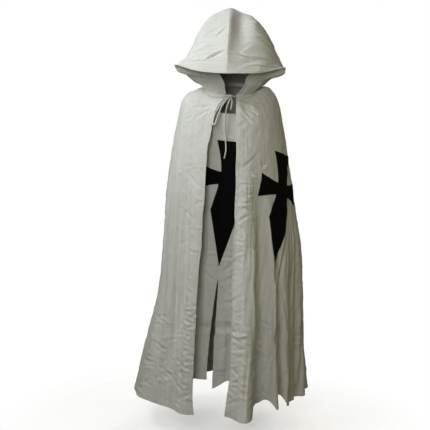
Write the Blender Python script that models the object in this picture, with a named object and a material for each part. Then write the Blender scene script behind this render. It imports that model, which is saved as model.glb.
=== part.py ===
"""A hooded cloak tied at the throat over a long sleeveless surcoat, both of white cotton
with a black cross sewn on. They keep the form of wear with nobody inside.

Metres, +Z up, the front faces -Y. The wearer's left is +X. The origin lies between the
two points where the shoulders carry the cloth. "turn" is an angle round the wearer in
degrees: 0 is the front, +90 the wearer's left side, -90 the right side, 180 the back.
"""

import math
from collections import namedtuple

import bmesh
import bpy
import numpy as np

# ---------------------------------------------------------------- driving sizes
CLOAK_WALL = 0.0015
SURCOAT_WALL = 0.0012
PATCH_WALL = 0.0009  # the black cloth of a cross
SEAM_GAP = 0.0003  # between two pieces that are sewn together
CASING_HEIGHT = 0.014
CORD_RADIUS = 0.003
HEM_DROP = 1.27  # from the shoulder level to the cloak's hem at the centre back
SURCOAT_DROP = 1.182
LEFT, RIGHT = 1, -1  # the wearer's sides, as signs of X

# ---------------------------------------------------------------- tables
# The neck seam: half width, depth in front and behind, height at front, side and back.
# late_rise says how far round the front it stays low before it climbs to the side.
Neck = namedtuple("Neck", "half_width front_depth back_depth front_z side_z back_z late_rise")
NECK = Neck(0.112, 0.098, 0.068, -0.012, 0.036, 0.052, 6)
THROAT_EDGE = {RIGHT: -0.013, LEFT: 0.025}  # X where the casing ends at the throat

# The cloak's body, one row for each ring from the neck seam down to the hem.
Ring = namedtuple(
    "Ring",
    "front_z right_z left_z back_z late_rise right_w left_w front_d back_d right_edge left_edge",
)
CLOAK_RINGS = (
    Ring(-0.0193, 0.0287, 0.0287, 0.0447, 6, 0.112, 0.112, 0.098, 0.068, -0.013, 0.025),
    Ring(-0.034, 0.027, 0.042, 0.034, 5, 0.130, 0.136, 0.109, 0.084, -0.024, 0.028),
    Ring(-0.057, 0.015, 0.036, 0.015, 4, 0.152, 0.166, 0.122, 0.102, -0.040, 0.028),
    Ring(-0.085, 0.000, 0.005, -0.015, 3, 0.183, 0.194, 0.135, 0.120, -0.054, 0.028),
    Ring(-0.118, -0.032, -0.032, -0.052, 2, 0.203, 0.212, 0.147, 0.134, -0.064, 0.029),
    Ring(-0.175, -0.105, -0.105, -0.118, 2, 0.218, 0.231, 0.163, 0.150, -0.075, 0.032),
    Ring(-0.290, -0.235, -0.235, -0.245, 2, 0.240, 0.255, 0.186, 0.170, -0.086, 0.035),
    Ring(-0.450, -0.420, -0.420, -0.425, 2, 0.257, 0.291, 0.204, 0.192, -0.089, 0.035),
    Ring(-0.650, -0.635, -0.635, -0.635, 2, 0.266, 0.338, 0.220, 0.214, -0.097, 0.034),
    Ring(-0.860, -0.855, -0.855, -0.855, 2, 0.284, 0.362, 0.238, 0.236, -0.106, 0.037),
    Ring(-1.075, -1.068, -1.070, -1.068, 2, 0.330, 0.381, 0.256, 0.262, -0.109, 0.038),
    Ring(-1.300, -1.268, -1.292, -HEM_DROP, 2, 0.376, 0.401, 0.278, 0.290, -0.106, 0.021),
)
SET_BACK = {RIGHT: 0.010, LEFT: 0.045}  # how far behind the middle each side is widest
SET_BACK_RINGS = (1, 5)  # the rings between which that sets in

# The folds of a skirt: where each lies at the hem and where it starts, its half width round
# the ring, how far it stands out (or in, if negative) and draws the hem up, the height at
# which it sets in, and how it grows from there: below 1 fast at first.
# A fold of depth 0 only draws the hem up.
Fold = namedtuple("Fold", "turn top_turn half_deg depth lift top_z growth")
CLOAK_FOLDS = (
    Fold(13, 19, 10, 0.062, -0.005, -0.20, 1.2),
    Fold(26, 28, 10, -0.066, 0.026, -0.36, 0.8),
    Fold(31, 31, 5, 0.000, 0.026, -0.80, 1.5),
    Fold(35, 35, 8, 0.016, 0.014, -0.45, 1.0),
    Fold(43, 43, 7, -0.040, 0.046, -0.50, 1.0),
    Fold(47, 47, 5, 0.000, 0.016, -0.80, 1.5),
    Fold(52, 52, 8, 0.016, 0.002, -0.50, 1.0),
    Fold(64, 62, 38, -0.064, 0.000, -0.42, 0.65),
    Fold(76, 70, 7, -0.020, 0.004, -0.50, 1.2),
    Fold(97, 95, 12, -0.040, 0.008, -0.30, 1.0),
    Fold(114, 112, 10, 0.030, 0.000, -0.30, 1.0),
    Fold(131, 128, 11, -0.055, 0.014, -0.20, 0.9),
    Fold(149, 147, 10, 0.038, -0.004, -0.25, 1.0),
    Fold(166, 164, 9, -0.050, 0.012, -0.20, 0.9),
    Fold(180, 180, 9, 0.024, 0.000, -0.25, 1.0),
    Fold(-164, -163, 10, -0.045, 0.012, -0.25, 0.9),
    Fold(-146, -146, 11, 0.036, -0.004, -0.25, 1.0),
    Fold(-127, -127, 11, -0.052, 0.014, -0.30, 1.0),
    Fold(-108, -110, 10, 0.020, 0.000, -0.35, 1.0),
    Fold(-92, -96, 9, -0.016, 0.004, -0.40, 1.0),
    Fold(-62, -66, 11, 0.014, 0.000, -0.25, 0.8),
    Fold(-41, -42, 12, -0.026, -0.009, -0.18, 0.6),
    Fold(-24, -26, 9, 0.016, 0.000, -0.30, 0.8),
)

# The hood, one arch for each row from the free edge back to the nape. Each arch runs from
# the neck seam over the cheek, the outer corner and the crown to the centre seam.
# nose is how bluntly the cloth turns over at the outer corner, lift how far that turn points up.
Arch = namedtuple("Arch", "neck_turn nose lift cheek corner crown seam")
HOOD_ARCHES = (
    Arch(None, 0.008, 1.0,
         (0.062, -0.124, 0.074), (0.222, -0.104, 0.106), (0.118, -0.184, 0.078), (-0.214, 0.067)),
    Arch(36, 0.020, 1.0,
         (0.106, -0.098, 0.055), (0.225, -0.078, 0.099), (0.124, -0.152, 0.122), (-0.190, 0.120)),
    Arch(62, 0.026, 1.0,
         (0.142, -0.056, 0.050), (0.216, -0.038, 0.112), (0.128, -0.104, 0.198), (-0.146, 0.206)),
    Arch(86, 0.026, 1.0,
         (0.142, -0.006, 0.052), (0.197, 0.004, 0.144), (0.122, -0.044, 0.268), (-0.082, 0.294)),
    Arch(110, 0.034, 0.6,
         (0.122, 0.044, 0.070), (0.168, 0.054, 0.190), (0.108, 0.022, 0.318), (-0.004, 0.370)),
    Arch(134, 0.042, 0.2,
         (0.094, 0.086, 0.086), (0.122, 0.108, 0.206), (0.078, 0.096, 0.314), (0.078, 0.368)),
    Arch(157, 0.034, 0.0,
         (0.050, 0.108, 0.098), (0.062, 0.136, 0.190), (0.036, 0.140, 0.258), (0.132, 0.296)),
    Arch(180, 0.018, 0.0,
         (0.000, 0.104, 0.096), (0.000, 0.136, 0.142), (0.000, 0.149, 0.180), (0.154, 0.214)),
)
# How far each side spreads, at the free edge and at two arches further back.
SPREAD_ROWS = (0, 2, 4)
CHEEK_SPREAD = {RIGHT: (0.54, 1.00, 1.00), LEFT: (1.42, 1.06, 1.06)}
CORNER_SPREAD = {RIGHT: (0.96, 0.93, 0.93), LEFT: (1.045, 1.06, 1.14)}
CROWN_SPREAD = {RIGHT: (0.96, 0.89, 0.89), LEFT: (1.045, 1.14, 1.14)}

# The surcoat's body: height, half width, depth in front and behind.
Level = namedtuple("Level", "z half_width front_d back_d")
SURCOAT_LEVELS = (
    Level(0.02, 0.186, 0.098, 0.088),
    Level(-0.08, 0.186, 0.112, 0.102),
    Level(-0.20, 0.180, 0.128, 0.112),
    Level(-0.40, 0.176, 0.140, 0.116),
    Level(-0.60, 0.180, 0.146, 0.124),
    Level(-0.85, 0.200, 0.158, 0.142),
    Level(-1.05, 0.218, 0.172, 0.158),
    Level(-SURCOAT_DROP, 0.228, 0.182, 0.168),
)
SURCOAT_FOLDS = (
    Fold(-62, -58, 14, -0.016, 0, -0.45, 1.0),
    Fold(-36, -36, 12, 0.012, 0, -0.40, 1.0),
    Fold(-14, -14, 9, -0.008, 0, -0.55, 1.0),
    Fold(22, 20, 12, 0.010, 0, -0.50, 1.0),
    Fold(48, 46, 13, -0.014, 0, -0.45, 1.0),
    Fold(112, 112, 14, 0.014, 0, -0.40, 1.0),
    Fold(138, 138, 14, -0.016, 0, -0.40, 1.0),
    Fold(166, 166, 14, 0.014, 0, -0.40, 1.0),
    Fold(-166, -166, 13, -0.014, 0, -0.40, 1.0),
    Fold(-138, -138, 14, 0.015, 0, -0.40, 1.0),
    Fold(-112, -112, 13, -0.012, 0, -0.40, 1.0),
)
NECKLINE_HALF_WIDTH = 0.098
NECKLINE_FRONT_Z = -0.085
NECKLINE_BACK_Z = -0.016
SHOULDER_NECK_Z = 0.0145  # the surcoat's shoulder line, at the neckline and at the armhole
SHOULDER_ARM_Z = -0.008
SHOULDER_END_X = 0.166
SHOULDER_ROUND = 0.085  # the height over which the cloth rounds over the shoulder
ARMHOLE_BOTTOM_Z = -0.235
SLIT_TOP_Z = -0.766
SLIT_HALF_WIDTH = 0.0135  # at the hem
SLIT_LEAN = -0.050  # how far the slit drifts to the wearer's right on its way down
SLIT_LEAN_TOP_Z = -0.30
FLAP_DIP = 0.036  # how much lower the hem hangs beside the slit, on the wearer's left
FLAP_DIP_TURNS = (-12.5, -9, 6)  # where the dip starts, is deepest and ends

# A cross: arms that flare outward, and a long lower arm that widens and ends in a point.
Cross = namedtuple(
    "Cross", "top_length side_length foot_length shoulder_drop waist top_end side_end blade"
)
CROSS = Cross(0.153, 0.118, 0.362, 0.134, 0.062, 0.120, 0.098, 0.118)
ARM_CURVE = 1.5  # above 1 the flare of an arm is a hollow curve
ARM_STEPS = 4
# Where a cross lies: the middle of its arms, the turn that it faces, its lean in degrees
# and the length of its lower arm as a share of the full one.
Placing = namedtuple("Placing", "x y z facing lean foot_scale")
SURCOAT_CROSS_AT = Placing(0.003, -0.150, -0.350, 0, 4.0, 1.0)
CLOAK_CROSS_AT = Placing(0.226, -0.093, -0.391, 40, 11.0, 0.91)
CUTTER_REACH = 0.13  # how far a cross's cutter reaches in and out of the cloth
CROSS_MARGIN = 0.06

# The throat knot and the cord's ends. Each end leaves the knot in its own direction, and
# then follows its points.
KNOT_AT = (-0.002, -0.1155, -0.0130)
KNOT_SIZE = (0.0080, 0.0070, 0.0075)
LONG_EXIT = (0.15, 0.10, -0.98)
LONG_END = (
    (-0.0030, -0.1180, -0.0340),
    (-0.0090, -0.1210, -0.0500),
    (-0.0145, -0.1225, -0.0800),
    (-0.0165, -0.1250, -0.1150),
    (-0.0150, -0.1285, -0.1550),
    (-0.0115, -0.1340, -0.2000),
    (-0.0095, -0.1370, -0.2350),
    (-0.0155, -0.1395, -0.2690),
)
LOOP_EXIT = (-0.62, -0.25, -0.75)
LOOP = (
    (-0.0160, -0.1200, -0.0235),
    (-0.0300, -0.1240, -0.0300),
    (-0.0480, -0.1340, -0.0500),
    (-0.0600, -0.1460, -0.0880),
    (-0.0660, -0.1580, -0.1220),
    (-0.0610, -0.1630, -0.1360),
    (-0.0530, -0.1580, -0.1200),
    (-0.0440, -0.1470, -0.0880),
    (-0.0330, -0.1380, -0.0580),
    (-0.0210, -0.1320, -0.0390),
    (-0.0100, -0.1300, -0.0245),
)
LOOP_RETURN = (-0.15, -0.97, -0.20)  # where the loop comes back to the knot
SHORT_EXIT = (0.60, -0.50, -0.62)
SHORT_END = (
    (0.0085, -0.1230, -0.0290),
    (0.0090, -0.1240, -0.0400),
    (0.0080, -0.1245, -0.0520),
    (0.0050, -0.1250, -0.0700),
)
EXIT_LENGTH = 0.0035  # straight from the knot, before a cord bends
TUBE_STEP = 0.0075  # between two points of a cord's tube

# ---------------------------------------------------------------- mesh fineness
CLOAK_COLUMNS = 36
CLOAK_STEPS = (1, 1, 1, 1, 1, 2, 2, 2, 2, 2, 2)  # rows of cells between one ring and the next
HOOD_STEPS = (3, 4, 1, 1, 4, 4)  # from the neck over cheek, corner and crown to the seam
HOOD_COLUMNS = 16
SURCOAT_FRONT_COLUMNS = 23
SURCOAT_BACK_COLUMNS = 16
SURCOAT_ROWS = 17

COLOURS = {  # linear base colour and roughness
    "cloth": ((0.66, 0.66, 0.60), 0.88),
    "black": ((0.008, 0.008, 0.008), 0.85),
    "cord": ((0.72, 0.71, 0.66), 0.80),
}


# ---------------------------------------------------------------- curves and rows
def row_value(rows, at):
    """A row between the rows of a table, on a smooth curve through them; at runs from 0."""
    table = np.array(rows, float)
    at = min(max(at, 0.0), len(table) - 1.0)
    i = min(int(at), len(table) - 2)
    t = at - i
    before = table[max(i - 1, 0)]
    after = table[min(i + 2, len(table) - 1)]
    start, end = table[i], table[i + 1]
    return (
        start
        + 0.5 * t * (end - before)
        + t**2 * (before - 2.5 * start + 2 * end - 0.5 * after)
        + t**3 * (1.5 * (start - end) + 0.5 * (after - before))
    )


def curve_points(points, step):
    """Points about one step apart along a smooth curve through the given ones."""
    fine = [row_value(points, at) for at in np.linspace(0, len(points) - 1, 400)]
    along = np.concatenate([[0], np.cumsum(np.linalg.norm(np.diff(fine, axis=0), axis=1))])
    stations = np.linspace(0, along[-1], max(2, round(along[-1] / step) + 1))
    return np.stack([np.interp(stations, along, np.array(fine)[:, k]) for k in range(3)], axis=1)


def unit(vectors):
    return vectors / np.linalg.norm(vectors, axis=-1, keepdims=True)


def stations(steps):
    """Places between the rows of a table, with the given number of steps in each gap."""
    places = [i + k / count for i, count in enumerate(steps) for k in range(count)]
    return [*places, len(steps)]


def smooth_step(value):
    value = np.clip(value, 0.0, 1.0)
    return value * value * (3 - 2 * value)


def ring_point(turn, half_width, front_d, back_d):
    """X and Y on an oval round the wearer."""
    s, c = math.sin(math.radians(turn)), math.cos(math.radians(turn))
    return half_width * s, -(front_d if c > 0 else back_d) * c


def ring_normal(turn, half_width, front_d, back_d):
    """The outward direction in plan on that oval."""
    s, c = math.sin(math.radians(turn)), math.cos(math.radians(turn))
    x, y = s / half_width, -c / (front_d if c > 0 else back_d)
    length = math.hypot(x, y)
    return x / length, y / length


def ring_height(turn, front_z, side_z, back_z, late_rise):
    """The height of a ring that runs over the shoulders. It climbs from the front to the side
    the later, the larger late_rise is, and from there evenly to the back."""
    s, c = math.sin(math.radians(turn)), math.cos(math.radians(turn))
    share = abs(s) ** (late_rise if c > 0 else 2)
    return (front_z if c > 0 else back_z) * (1 - share) + side_z * share


def fold_push(folds, turn, z, hem_z):
    """How far the folds move the cloth outward and up at a turn and height."""
    push, lift = 0.0, 0.0
    for fold in folds:
        down = (fold.top_z - z) / (fold.top_z - hem_z)
        if down <= 0:
            continue
        centre = fold.top_turn + (fold.turn - fold.top_turn) * min(down, 1.0)
        away = (turn - centre + 180) % 360 - 180
        if abs(away) < fold.half_deg:
            share = down**fold.growth * math.cos(0.5 * math.pi * away / fold.half_deg) ** 2
            push += fold.depth * share
            lift += fold.lift * share
    return push, lift


# ---------------------------------------------------------------- meshes
def material(name):
    made = bpy.data.materials.get(name) or bpy.data.materials.new(name)
    made.use_nodes = True
    colour, roughness = COLOURS[name]
    shader = made.node_tree.nodes["Principled BSDF"]
    shader.inputs["Base Color"].default_value = (*colour, 1)
    shader.inputs["Roughness"].default_value = roughness
    made.diffuse_color = (*colour, 1)
    return made


def add_object(name, data, look):
    made = bpy.data.objects.new(name, data)
    made.data.materials.append(material(look))
    bpy.context.scene.collection.objects.link(made)
    return made


def grid_normals(points):
    """Unit normals of a grid of points, taken across its columns and rows."""
    across, down = np.gradient(points, axis=1), np.gradient(points, axis=0)
    return unit(np.cross(down, across))


def flatten_normals(normals, index, axis):
    """Turns one border's normals into the seam's plane, so that two pieces meet there cleanly."""
    edge = normals[index].copy()
    edge[..., axis] = 0
    normals[index] = unit(edge)


def wall(name, outer, normals, inner_depth, look, outer_lift=0.0):
    """A closed sheet between a grid of points and the same points moved inward."""
    rows, columns = outer.shape[:2]
    base = outer.reshape(-1, 3)
    top = (outer + normals * outer_lift).reshape(-1, 3)
    below = (outer - normals * inner_depth).reshape(-1, 3)
    under = rows * columns

    def at(row, column):
        return row * columns + column

    faces = []
    for r in range(rows - 1):
        for c in range(columns - 1):
            a, b, d, e = at(r, c), at(r, c + 1), at(r + 1, c + 1), at(r + 1, c)
            # both sides of the sheet, and a patch on it, bend along the cell's shorter diagonal
            if np.linalg.norm(base[a] - base[d]) < np.linalg.norm(base[b] - base[e]):
                halves = (a, b, d), (a, d, e)
            else:
                halves = (a, b, e), (b, d, e)
            for half in halves:
                faces.append(half)
                faces.append(tuple(under + i for i in reversed(half)))
    border = [at(0, c) for c in range(columns)]
    border += [at(r, columns - 1) for r in range(1, rows)]
    border += [at(rows - 1, c) for c in range(columns - 2, -1, -1)]
    border += [at(r, 0) for r in range(rows - 2, 0, -1)]
    for i, j in zip(border, border[1:] + border[:1]):
        faces.append((i, under + i, under + j, j))
    mesh = bpy.data.meshes.new(name)
    mesh.from_pydata([tuple(p) for p in np.concatenate([top, below])], [], faces)
    build = bmesh.new()
    build.from_mesh(mesh)
    bmesh.ops.recalc_face_normals(build, faces=build.faces)
    build.to_mesh(mesh)
    build.free()
    mesh.shade_smooth()
    mesh.set_sharp_from_angle(angle=math.radians(50))
    return add_object(name, mesh, look)


# ---------------------------------------------------------------- neck casing
def neck_point(turn, rise=0.0):
    """A point of the neck seam's line, moved up by rise."""
    x, y = ring_point(turn, NECK.half_width, NECK.front_depth, NECK.back_depth)
    z = ring_height(turn, NECK.front_z, NECK.side_z, NECK.back_z, NECK.late_rise)
    return np.array([x, y, z + rise])


def throat_turn(side):
    return math.degrees(math.asin(THROAT_EDGE[side] / NECK.half_width))


def neck_turns(side):
    """The turns at which the hood's columns meet the neck seam, from the throat to the nape."""
    first = abs(throat_turn(side))
    turns = [[first if arch.neck_turn is None else arch.neck_turn] for arch in HOOD_ARCHES]
    rows = np.linspace(0, len(turns) - 1, HOOD_COLUMNS)
    return np.array([side * row_value(turns, row)[0] for row in rows])


def seam_point(turn, side, rise):
    """A point on the straight stretches between the casing's corners."""
    corners = neck_turns(side)
    points = np.array([neck_point(corner, rise) for corner in corners])
    return np.array([np.interp(abs(turn), abs(corners), points[:, k]) for k in range(3)])


def make_casing():
    """The band round the neck that the cord runs in."""
    half = CASING_HEIGHT / 2
    turns = [*neck_turns(RIGHT), *neck_turns(LEFT)[-2::-1]]
    belly = (0.0, 0.0012, 0.0)
    rises = (half, 0.0, -half)
    outer = np.array([[neck_point(t, rise) for t in turns] for rise in rises])
    normals = np.array(
        [[(*ring_normal(t, NECK.half_width, NECK.front_depth, NECK.back_depth), 0) for t in turns]] * 3
    )
    outer += normals * np.array(belly)[:, None, None]
    wall("neck_casing", outer, normals, CLOAK_WALL + 0.0012, "cloth")


# ---------------------------------------------------------------- cloak body
def cloak_point(row, turn):
    """A point of the cloak's outer face: row counts the rings from the neck down."""
    ring = Ring(*row_value(CLOAK_RINGS, row))
    side = LEFT if 0 < turn <= 180 else RIGHT
    width, side_z = (ring.left_w, ring.left_z) if side == LEFT else (ring.right_w, ring.right_z)
    z = ring_height(turn, ring.front_z, side_z, ring.back_z, ring.late_rise)
    push, lift = fold_push(CLOAK_FOLDS, turn, z, -HEM_DROP)
    set_in = smooth_step((row - SET_BACK_RINGS[0]) / (SET_BACK_RINGS[1] - SET_BACK_RINGS[0]))
    set_back = SET_BACK[side] * set_in
    oval = (width, ring.front_d + set_back, ring.back_d - set_back)
    x, y = ring_point(turn, *oval)
    nx, ny = ring_normal(turn, *oval)
    return np.array([x + nx * push, y + ny * push + set_back, z + lift])


def cloak_edge_turn(row, side):
    """The turn of the front edge of one panel."""
    ring = Ring(*row_value(CLOAK_RINGS, row))
    if side == LEFT:
        return math.degrees(math.asin(ring.left_edge / ring.left_w))
    return math.degrees(math.asin(ring.right_edge / ring.right_w))


def cloak_shares(side, count):
    """Where the columns of a panel lie between its front edge and the centre back: evenly
    along the folded hem, so that deep folds get the columns that they need."""
    hem = len(CLOAK_RINGS) - 1
    edge = cloak_edge_turn(hem, side)
    shares = np.linspace(0, 1, 600)
    points = np.array([cloak_point(hem, edge + (side * 180 - edge) * q) for q in shares])
    along = np.concatenate([[0], np.cumsum(np.linalg.norm(np.diff(points, axis=0), axis=1))])
    even = np.interp(np.linspace(0, along[-1], count), along, shares)
    return 0.75 * even + 0.25 * np.linspace(0, 1, count)


def cloak_grid(side):
    """Outer points and normals of one panel: rows run down, columns from front edge to back."""
    rows = stations(CLOAK_STEPS)
    shares = cloak_shares(side, CLOAK_COLUMNS)
    outer = np.empty((len(rows), len(shares), 3))
    for r, row in enumerate(rows):
        edge = cloak_edge_turn(row, side)
        for c, share in enumerate(shares):
            turn = edge + (side * 180 - edge) * share
            if r == 0:
                outer[r, c] = seam_point(turn, side, -CASING_HEIGHT / 2 - SEAM_GAP)
            else:
                outer[r, c] = cloak_point(row, turn)
    normals = grid_normals(outer) * side
    flatten_normals(normals, (slice(None), -1), 0)
    outer[0, :, 2] -= SEAM_GAP
    outer[:, -1, 0] = side * SEAM_GAP / 2
    return outer, normals


def make_cloak_panel(side, name):
    outer, normals = cloak_grid(side)
    wall(name, outer, normals, CLOAK_WALL, "cloth")


# ---------------------------------------------------------------- hood
def hood_sway(point, along):
    """The hood's seam lies a little towards the wearer's right, more so at its front."""
    weight = smooth_step((point[2] - 0.03) / 0.03) * min(along, 1.0)
    return weight * (-0.009 + 0.040 * min(point[1], 0.0))


def hood_point(row, along, side):
    """A point of the hood's outer face: row counts the arches back from the free edge, and
    along counts an arch's knots from the neck seam to the centre seam."""
    cheek_spread = np.interp(row, SPREAD_ROWS, CHEEK_SPREAD[side])
    corner_spread = np.interp(row, SPREAD_ROWS, CORNER_SPREAD[side])
    crown_spread = np.interp(row, SPREAD_ROWS, CROWN_SPREAD[side])
    knots = []
    rows = np.linspace(0, len(HOOD_ARCHES) - 1, HOOD_COLUMNS)
    for arch in HOOD_ARCHES:
        start = np.zeros(3)
        cheek = np.array(arch.cheek) * (cheek_spread, 1, 1)
        corner = np.array(arch.corner) * (corner_spread, 1, 1)
        crown = np.array(arch.crown) * (crown_spread, 1, 1)
        outward, inward = unit(corner - cheek), unit(crown - corner)
        back = arch.nose * (inward - outward) / 2
        over = arch.nose * unit(inward + outward + (0, 0, arch.lift))
        seam = (0.0, *arch.seam)
        knots.append([start, cheek, corner + back - over, corner, corner + back + over, crown, seam])
    line = row_value([np.concatenate(knot) for knot in knots], row).reshape(-1, 3)
    line[0] = neck_point(np.interp(row, rows, abs(neck_turns(side))), CASING_HEIGHT / 2 + SEAM_GAP)
    point = row_value(line, along)
    point[0] = max(point[0], 0.0) * side
    point[0] += hood_sway(point, along)
    return point


def hood_grid(side):
    """Rows of the grid run along the arches; its columns run from the free edge to the nape."""
    rows = np.linspace(0, len(HOOD_ARCHES) - 1, HOOD_COLUMNS)
    outer = np.array([[hood_point(row, at, side) for row in rows] for at in stations(HOOD_STEPS)])
    normals = grid_normals(outer) * -side
    flatten_normals(normals, (-1, slice(0, -1)), 0)
    flatten_normals(normals, (slice(0, -1), -1), 0)
    normals[-1, -1] = unit(normals[-1, -2] + normals[-2, -1])
    outer[-1, :, 0] += side * SEAM_GAP / 2
    outer[:-1, -1, 0] += side * SEAM_GAP / 2
    return outer, normals


def make_hood_half(side, name):
    outer, normals = hood_grid(side)
    wall(name, outer, normals, CLOAK_WALL, "cloth")


# ---------------------------------------------------------------- surcoat
def shoulder_z(x):
    """Height of the shoulder line over the wearer's side."""
    along = (abs(x) - NECKLINE_HALF_WIDTH) / (SHOULDER_END_X - NECKLINE_HALF_WIDTH)
    return SHOULDER_NECK_Z + (SHOULDER_ARM_Z - SHOULDER_NECK_Z) * along


def surcoat_level(z):
    heights = [level.z for level in SURCOAT_LEVELS]
    at = np.interp(-z, [-h for h in heights], range(len(heights)))
    return Level(*row_value(SURCOAT_LEVELS, at))


def surcoat_point(turn, z, fullness=1.0):
    """A point of the surcoat's outer face. fullness below 1 is on the way over the shoulder."""
    level = surcoat_level(z)
    push, _ = fold_push(SURCOAT_FOLDS, turn, z, -SURCOAT_DROP)
    x, y = ring_point(turn, level.half_width, level.front_d, level.back_d)
    nx, ny = ring_normal(turn, level.half_width, level.front_d, level.back_d)
    return np.array([x + nx * push, (y + ny * push) * fullness, z])


def surcoat_top(share, neckline_z):
    """The height of the neckline or shoulder line at a share across the panel."""
    x = abs(share) * SHOULDER_END_X
    if x >= NECKLINE_HALF_WIDTH:
        return shoulder_z(x)
    climb = 1 - math.sqrt(1 - (x / NECKLINE_HALF_WIDTH) ** 3)
    return neckline_z + (SHOULDER_NECK_Z - neckline_z) * climb


def side_turn(share, z):
    """The turn of a column: straight below the armhole, and drawn in above it."""
    above = smooth_step((z - ARMHOLE_BOTTOM_Z) / (SHOULDER_ARM_Z - ARMHOLE_BOTTOM_Z))
    edge_x = SHOULDER_END_X - 0.030 * math.sin(math.pi * above)
    full = 90 * share
    drawn = math.degrees(math.asin(share * min(1.0, edge_x / surcoat_level(z).half_width)))
    blend = smooth_step((z - ARMHOLE_BOTTOM_Z) / 0.05)
    return full + (drawn - full) * blend


def surcoat_grid(front):
    """Rows run down from the neckline and shoulder; columns go from the wearer's right to left."""
    count = SURCOAT_FRONT_COLUMNS if front else SURCOAT_BACK_COLUMNS
    neckline_z = NECKLINE_FRONT_Z if front else NECKLINE_BACK_Z
    shares = np.linspace(-1, 1, count)
    downs = np.linspace(0, 1, SURCOAT_ROWS)
    outer = np.empty((len(downs), count, 3))
    for c, share in enumerate(shares):
        top_z = surcoat_top(share, neckline_z)
        dip = FLAP_DIP * np.interp(90 * share, FLAP_DIP_TURNS, (0, 1, 0))
        for r, down in enumerate(downs):
            eased = 0.35 * down + 0.65 * down**1.8
            z = top_z + (-SURCOAT_DROP - top_z - dip * front) * eased
            below = np.clip((shoulder_z(abs(share) * SHOULDER_END_X) - z) / SHOULDER_ROUND, 0, 1)
            fullness = math.sqrt(1 - (1 - below) ** 2)
            turn = side_turn(share, z)
            outer[r, c] = surcoat_point(turn if front else 180 - turn, z, fullness)
    return outer


def make_surcoat(front, name):
    outer = surcoat_grid(front)
    normals = grid_normals(outer) * (1 if front else -1)
    away = -1 if front else 1
    low = outer[:, 0, 2] < ARMHOLE_BOTTOM_Z
    for column in (0, -1):
        flatten_normals(normals, (low, column), 1)
        outer[low, column, 1] += away * SEAM_GAP / 2
    over = np.abs(np.linspace(-1, 1, outer.shape[1])) * SHOULDER_END_X >= NECKLINE_HALF_WIDTH
    flatten_normals(normals, (0, over), 1)
    outer[0, over, 1] += away * SEAM_GAP / 2
    made = wall(name, outer, normals, SURCOAT_WALL, "cloth")
    return made, outer, normals


def slit_x(z):
    down = (SLIT_LEAN_TOP_Z - z) / (SLIT_LEAN_TOP_Z + SURCOAT_DROP)
    return SURCOAT_CROSS_AT.x + SLIT_LEAN * smooth_step(down)


def prism(name, outline, y_near, y_far):
    """A cutter: an outline in X and Z drawn out along Y."""
    count = len(outline)
    points = [(x, y, z) for y in (y_near, y_far) for x, z in outline]
    faces = [tuple(range(count)), tuple(range(2 * count - 1, count - 1, -1))]
    for i in range(count):
        j = (i + 1) % count
        faces.append((i, i + count, j + count, j))
    mesh = bpy.data.meshes.new(name)
    mesh.from_pydata(points, [], faces)
    build = bmesh.new()
    build.from_mesh(mesh)
    bmesh.ops.recalc_face_normals(build, faces=build.faces)
    build.to_mesh(mesh)
    build.free()
    made = bpy.data.objects.new(name, mesh)
    made.hide_render = True
    made.display_type = "WIRE"
    bpy.context.scene.collection.objects.link(made)
    return made


def cut(target, cutter, operation):
    modifier = target.modifiers.new("cut", "BOOLEAN")
    modifier.operation = operation
    modifier.object = cutter
    modifier.solver = "EXACT"


def cut_slit(front_panel):
    """The slit for the stride, a slim wedge that opens towards the hem."""
    below = -SURCOAT_DROP - 0.05
    outline = [(slit_x(SLIT_TOP_Z), SLIT_TOP_Z)]
    heights = np.linspace(SLIT_TOP_Z - 0.03, below, 6)
    for side in (LEFT, RIGHT):
        border = []
        for z in heights:
            open_share = min(1.0, (SLIT_TOP_Z - z) / (SLIT_TOP_Z + SURCOAT_DROP)) ** 0.5
            border.append((slit_x(z) + side * SLIT_HALF_WIDTH * open_share, z))
        outline += border if side == LEFT else border[::-1]
    cut(front_panel, prism("slit_cutter", outline, -0.30, -0.05), "DIFFERENCE")


# ---------------------------------------------------------------- crosses
def arm_outline(length, waist, end):
    """One flaring arm's border: distance along the arm and half width, from waist to end."""
    for step in range(1, ARM_STEPS + 1):
        t = step / ARM_STEPS
        yield waist / 2 + (length - waist / 2) * t, waist / 2 + (end - waist) / 2 * t**ARM_CURVE


def cross_outline(foot_scale):
    """The cross as X and Z round its middle, clockwise from the right of the top arm."""
    top = list(arm_outline(CROSS.top_length, CROSS.waist, CROSS.top_end))
    side = list(arm_outline(CROSS.side_length, CROSS.waist * 0.8, CROSS.side_end))
    inner = (CROSS.waist / 2, CROSS.waist * 0.4)
    half = [(w, along) for along, w in reversed(top)] + [inner]
    half += [(along, w) for along, w in side]
    half += [(along, -w) for along, w in reversed(side)]
    half += [(inner[0] * 1.1, -inner[1]), (CROSS.blade / 2, -CROSS.shoulder_drop * foot_scale)]
    point = (0.0, -CROSS.foot_length * foot_scale)
    return half + [point] + [(-x, z) for x, z in reversed(half)]


def part_under_cross(outer, at):
    """The rows and columns of a panel's grid that a cross lies on, with a margin."""
    s, c = math.sin(math.radians(at.facing)), math.cos(math.radians(at.facing))
    from_middle = outer - np.array([at.x, at.y, at.z])
    across = abs(from_middle @ (c, s, 0)) < CROSS.side_length + CROSS_MARGIN
    ahead = from_middle @ (s, -c, 0) > -CUTTER_REACH
    below = from_middle[..., 2] < CROSS.top_length + CROSS_MARGIN
    above = from_middle[..., 2] > -CROSS.foot_length - CROSS_MARGIN
    inside = across & ahead & below & above
    rows, columns = np.flatnonzero(inside.any(axis=1)), np.flatnonzero(inside.any(axis=0))
    return slice(rows[0], rows[-1] + 1), slice(columns[0], columns[-1] + 1)


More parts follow.
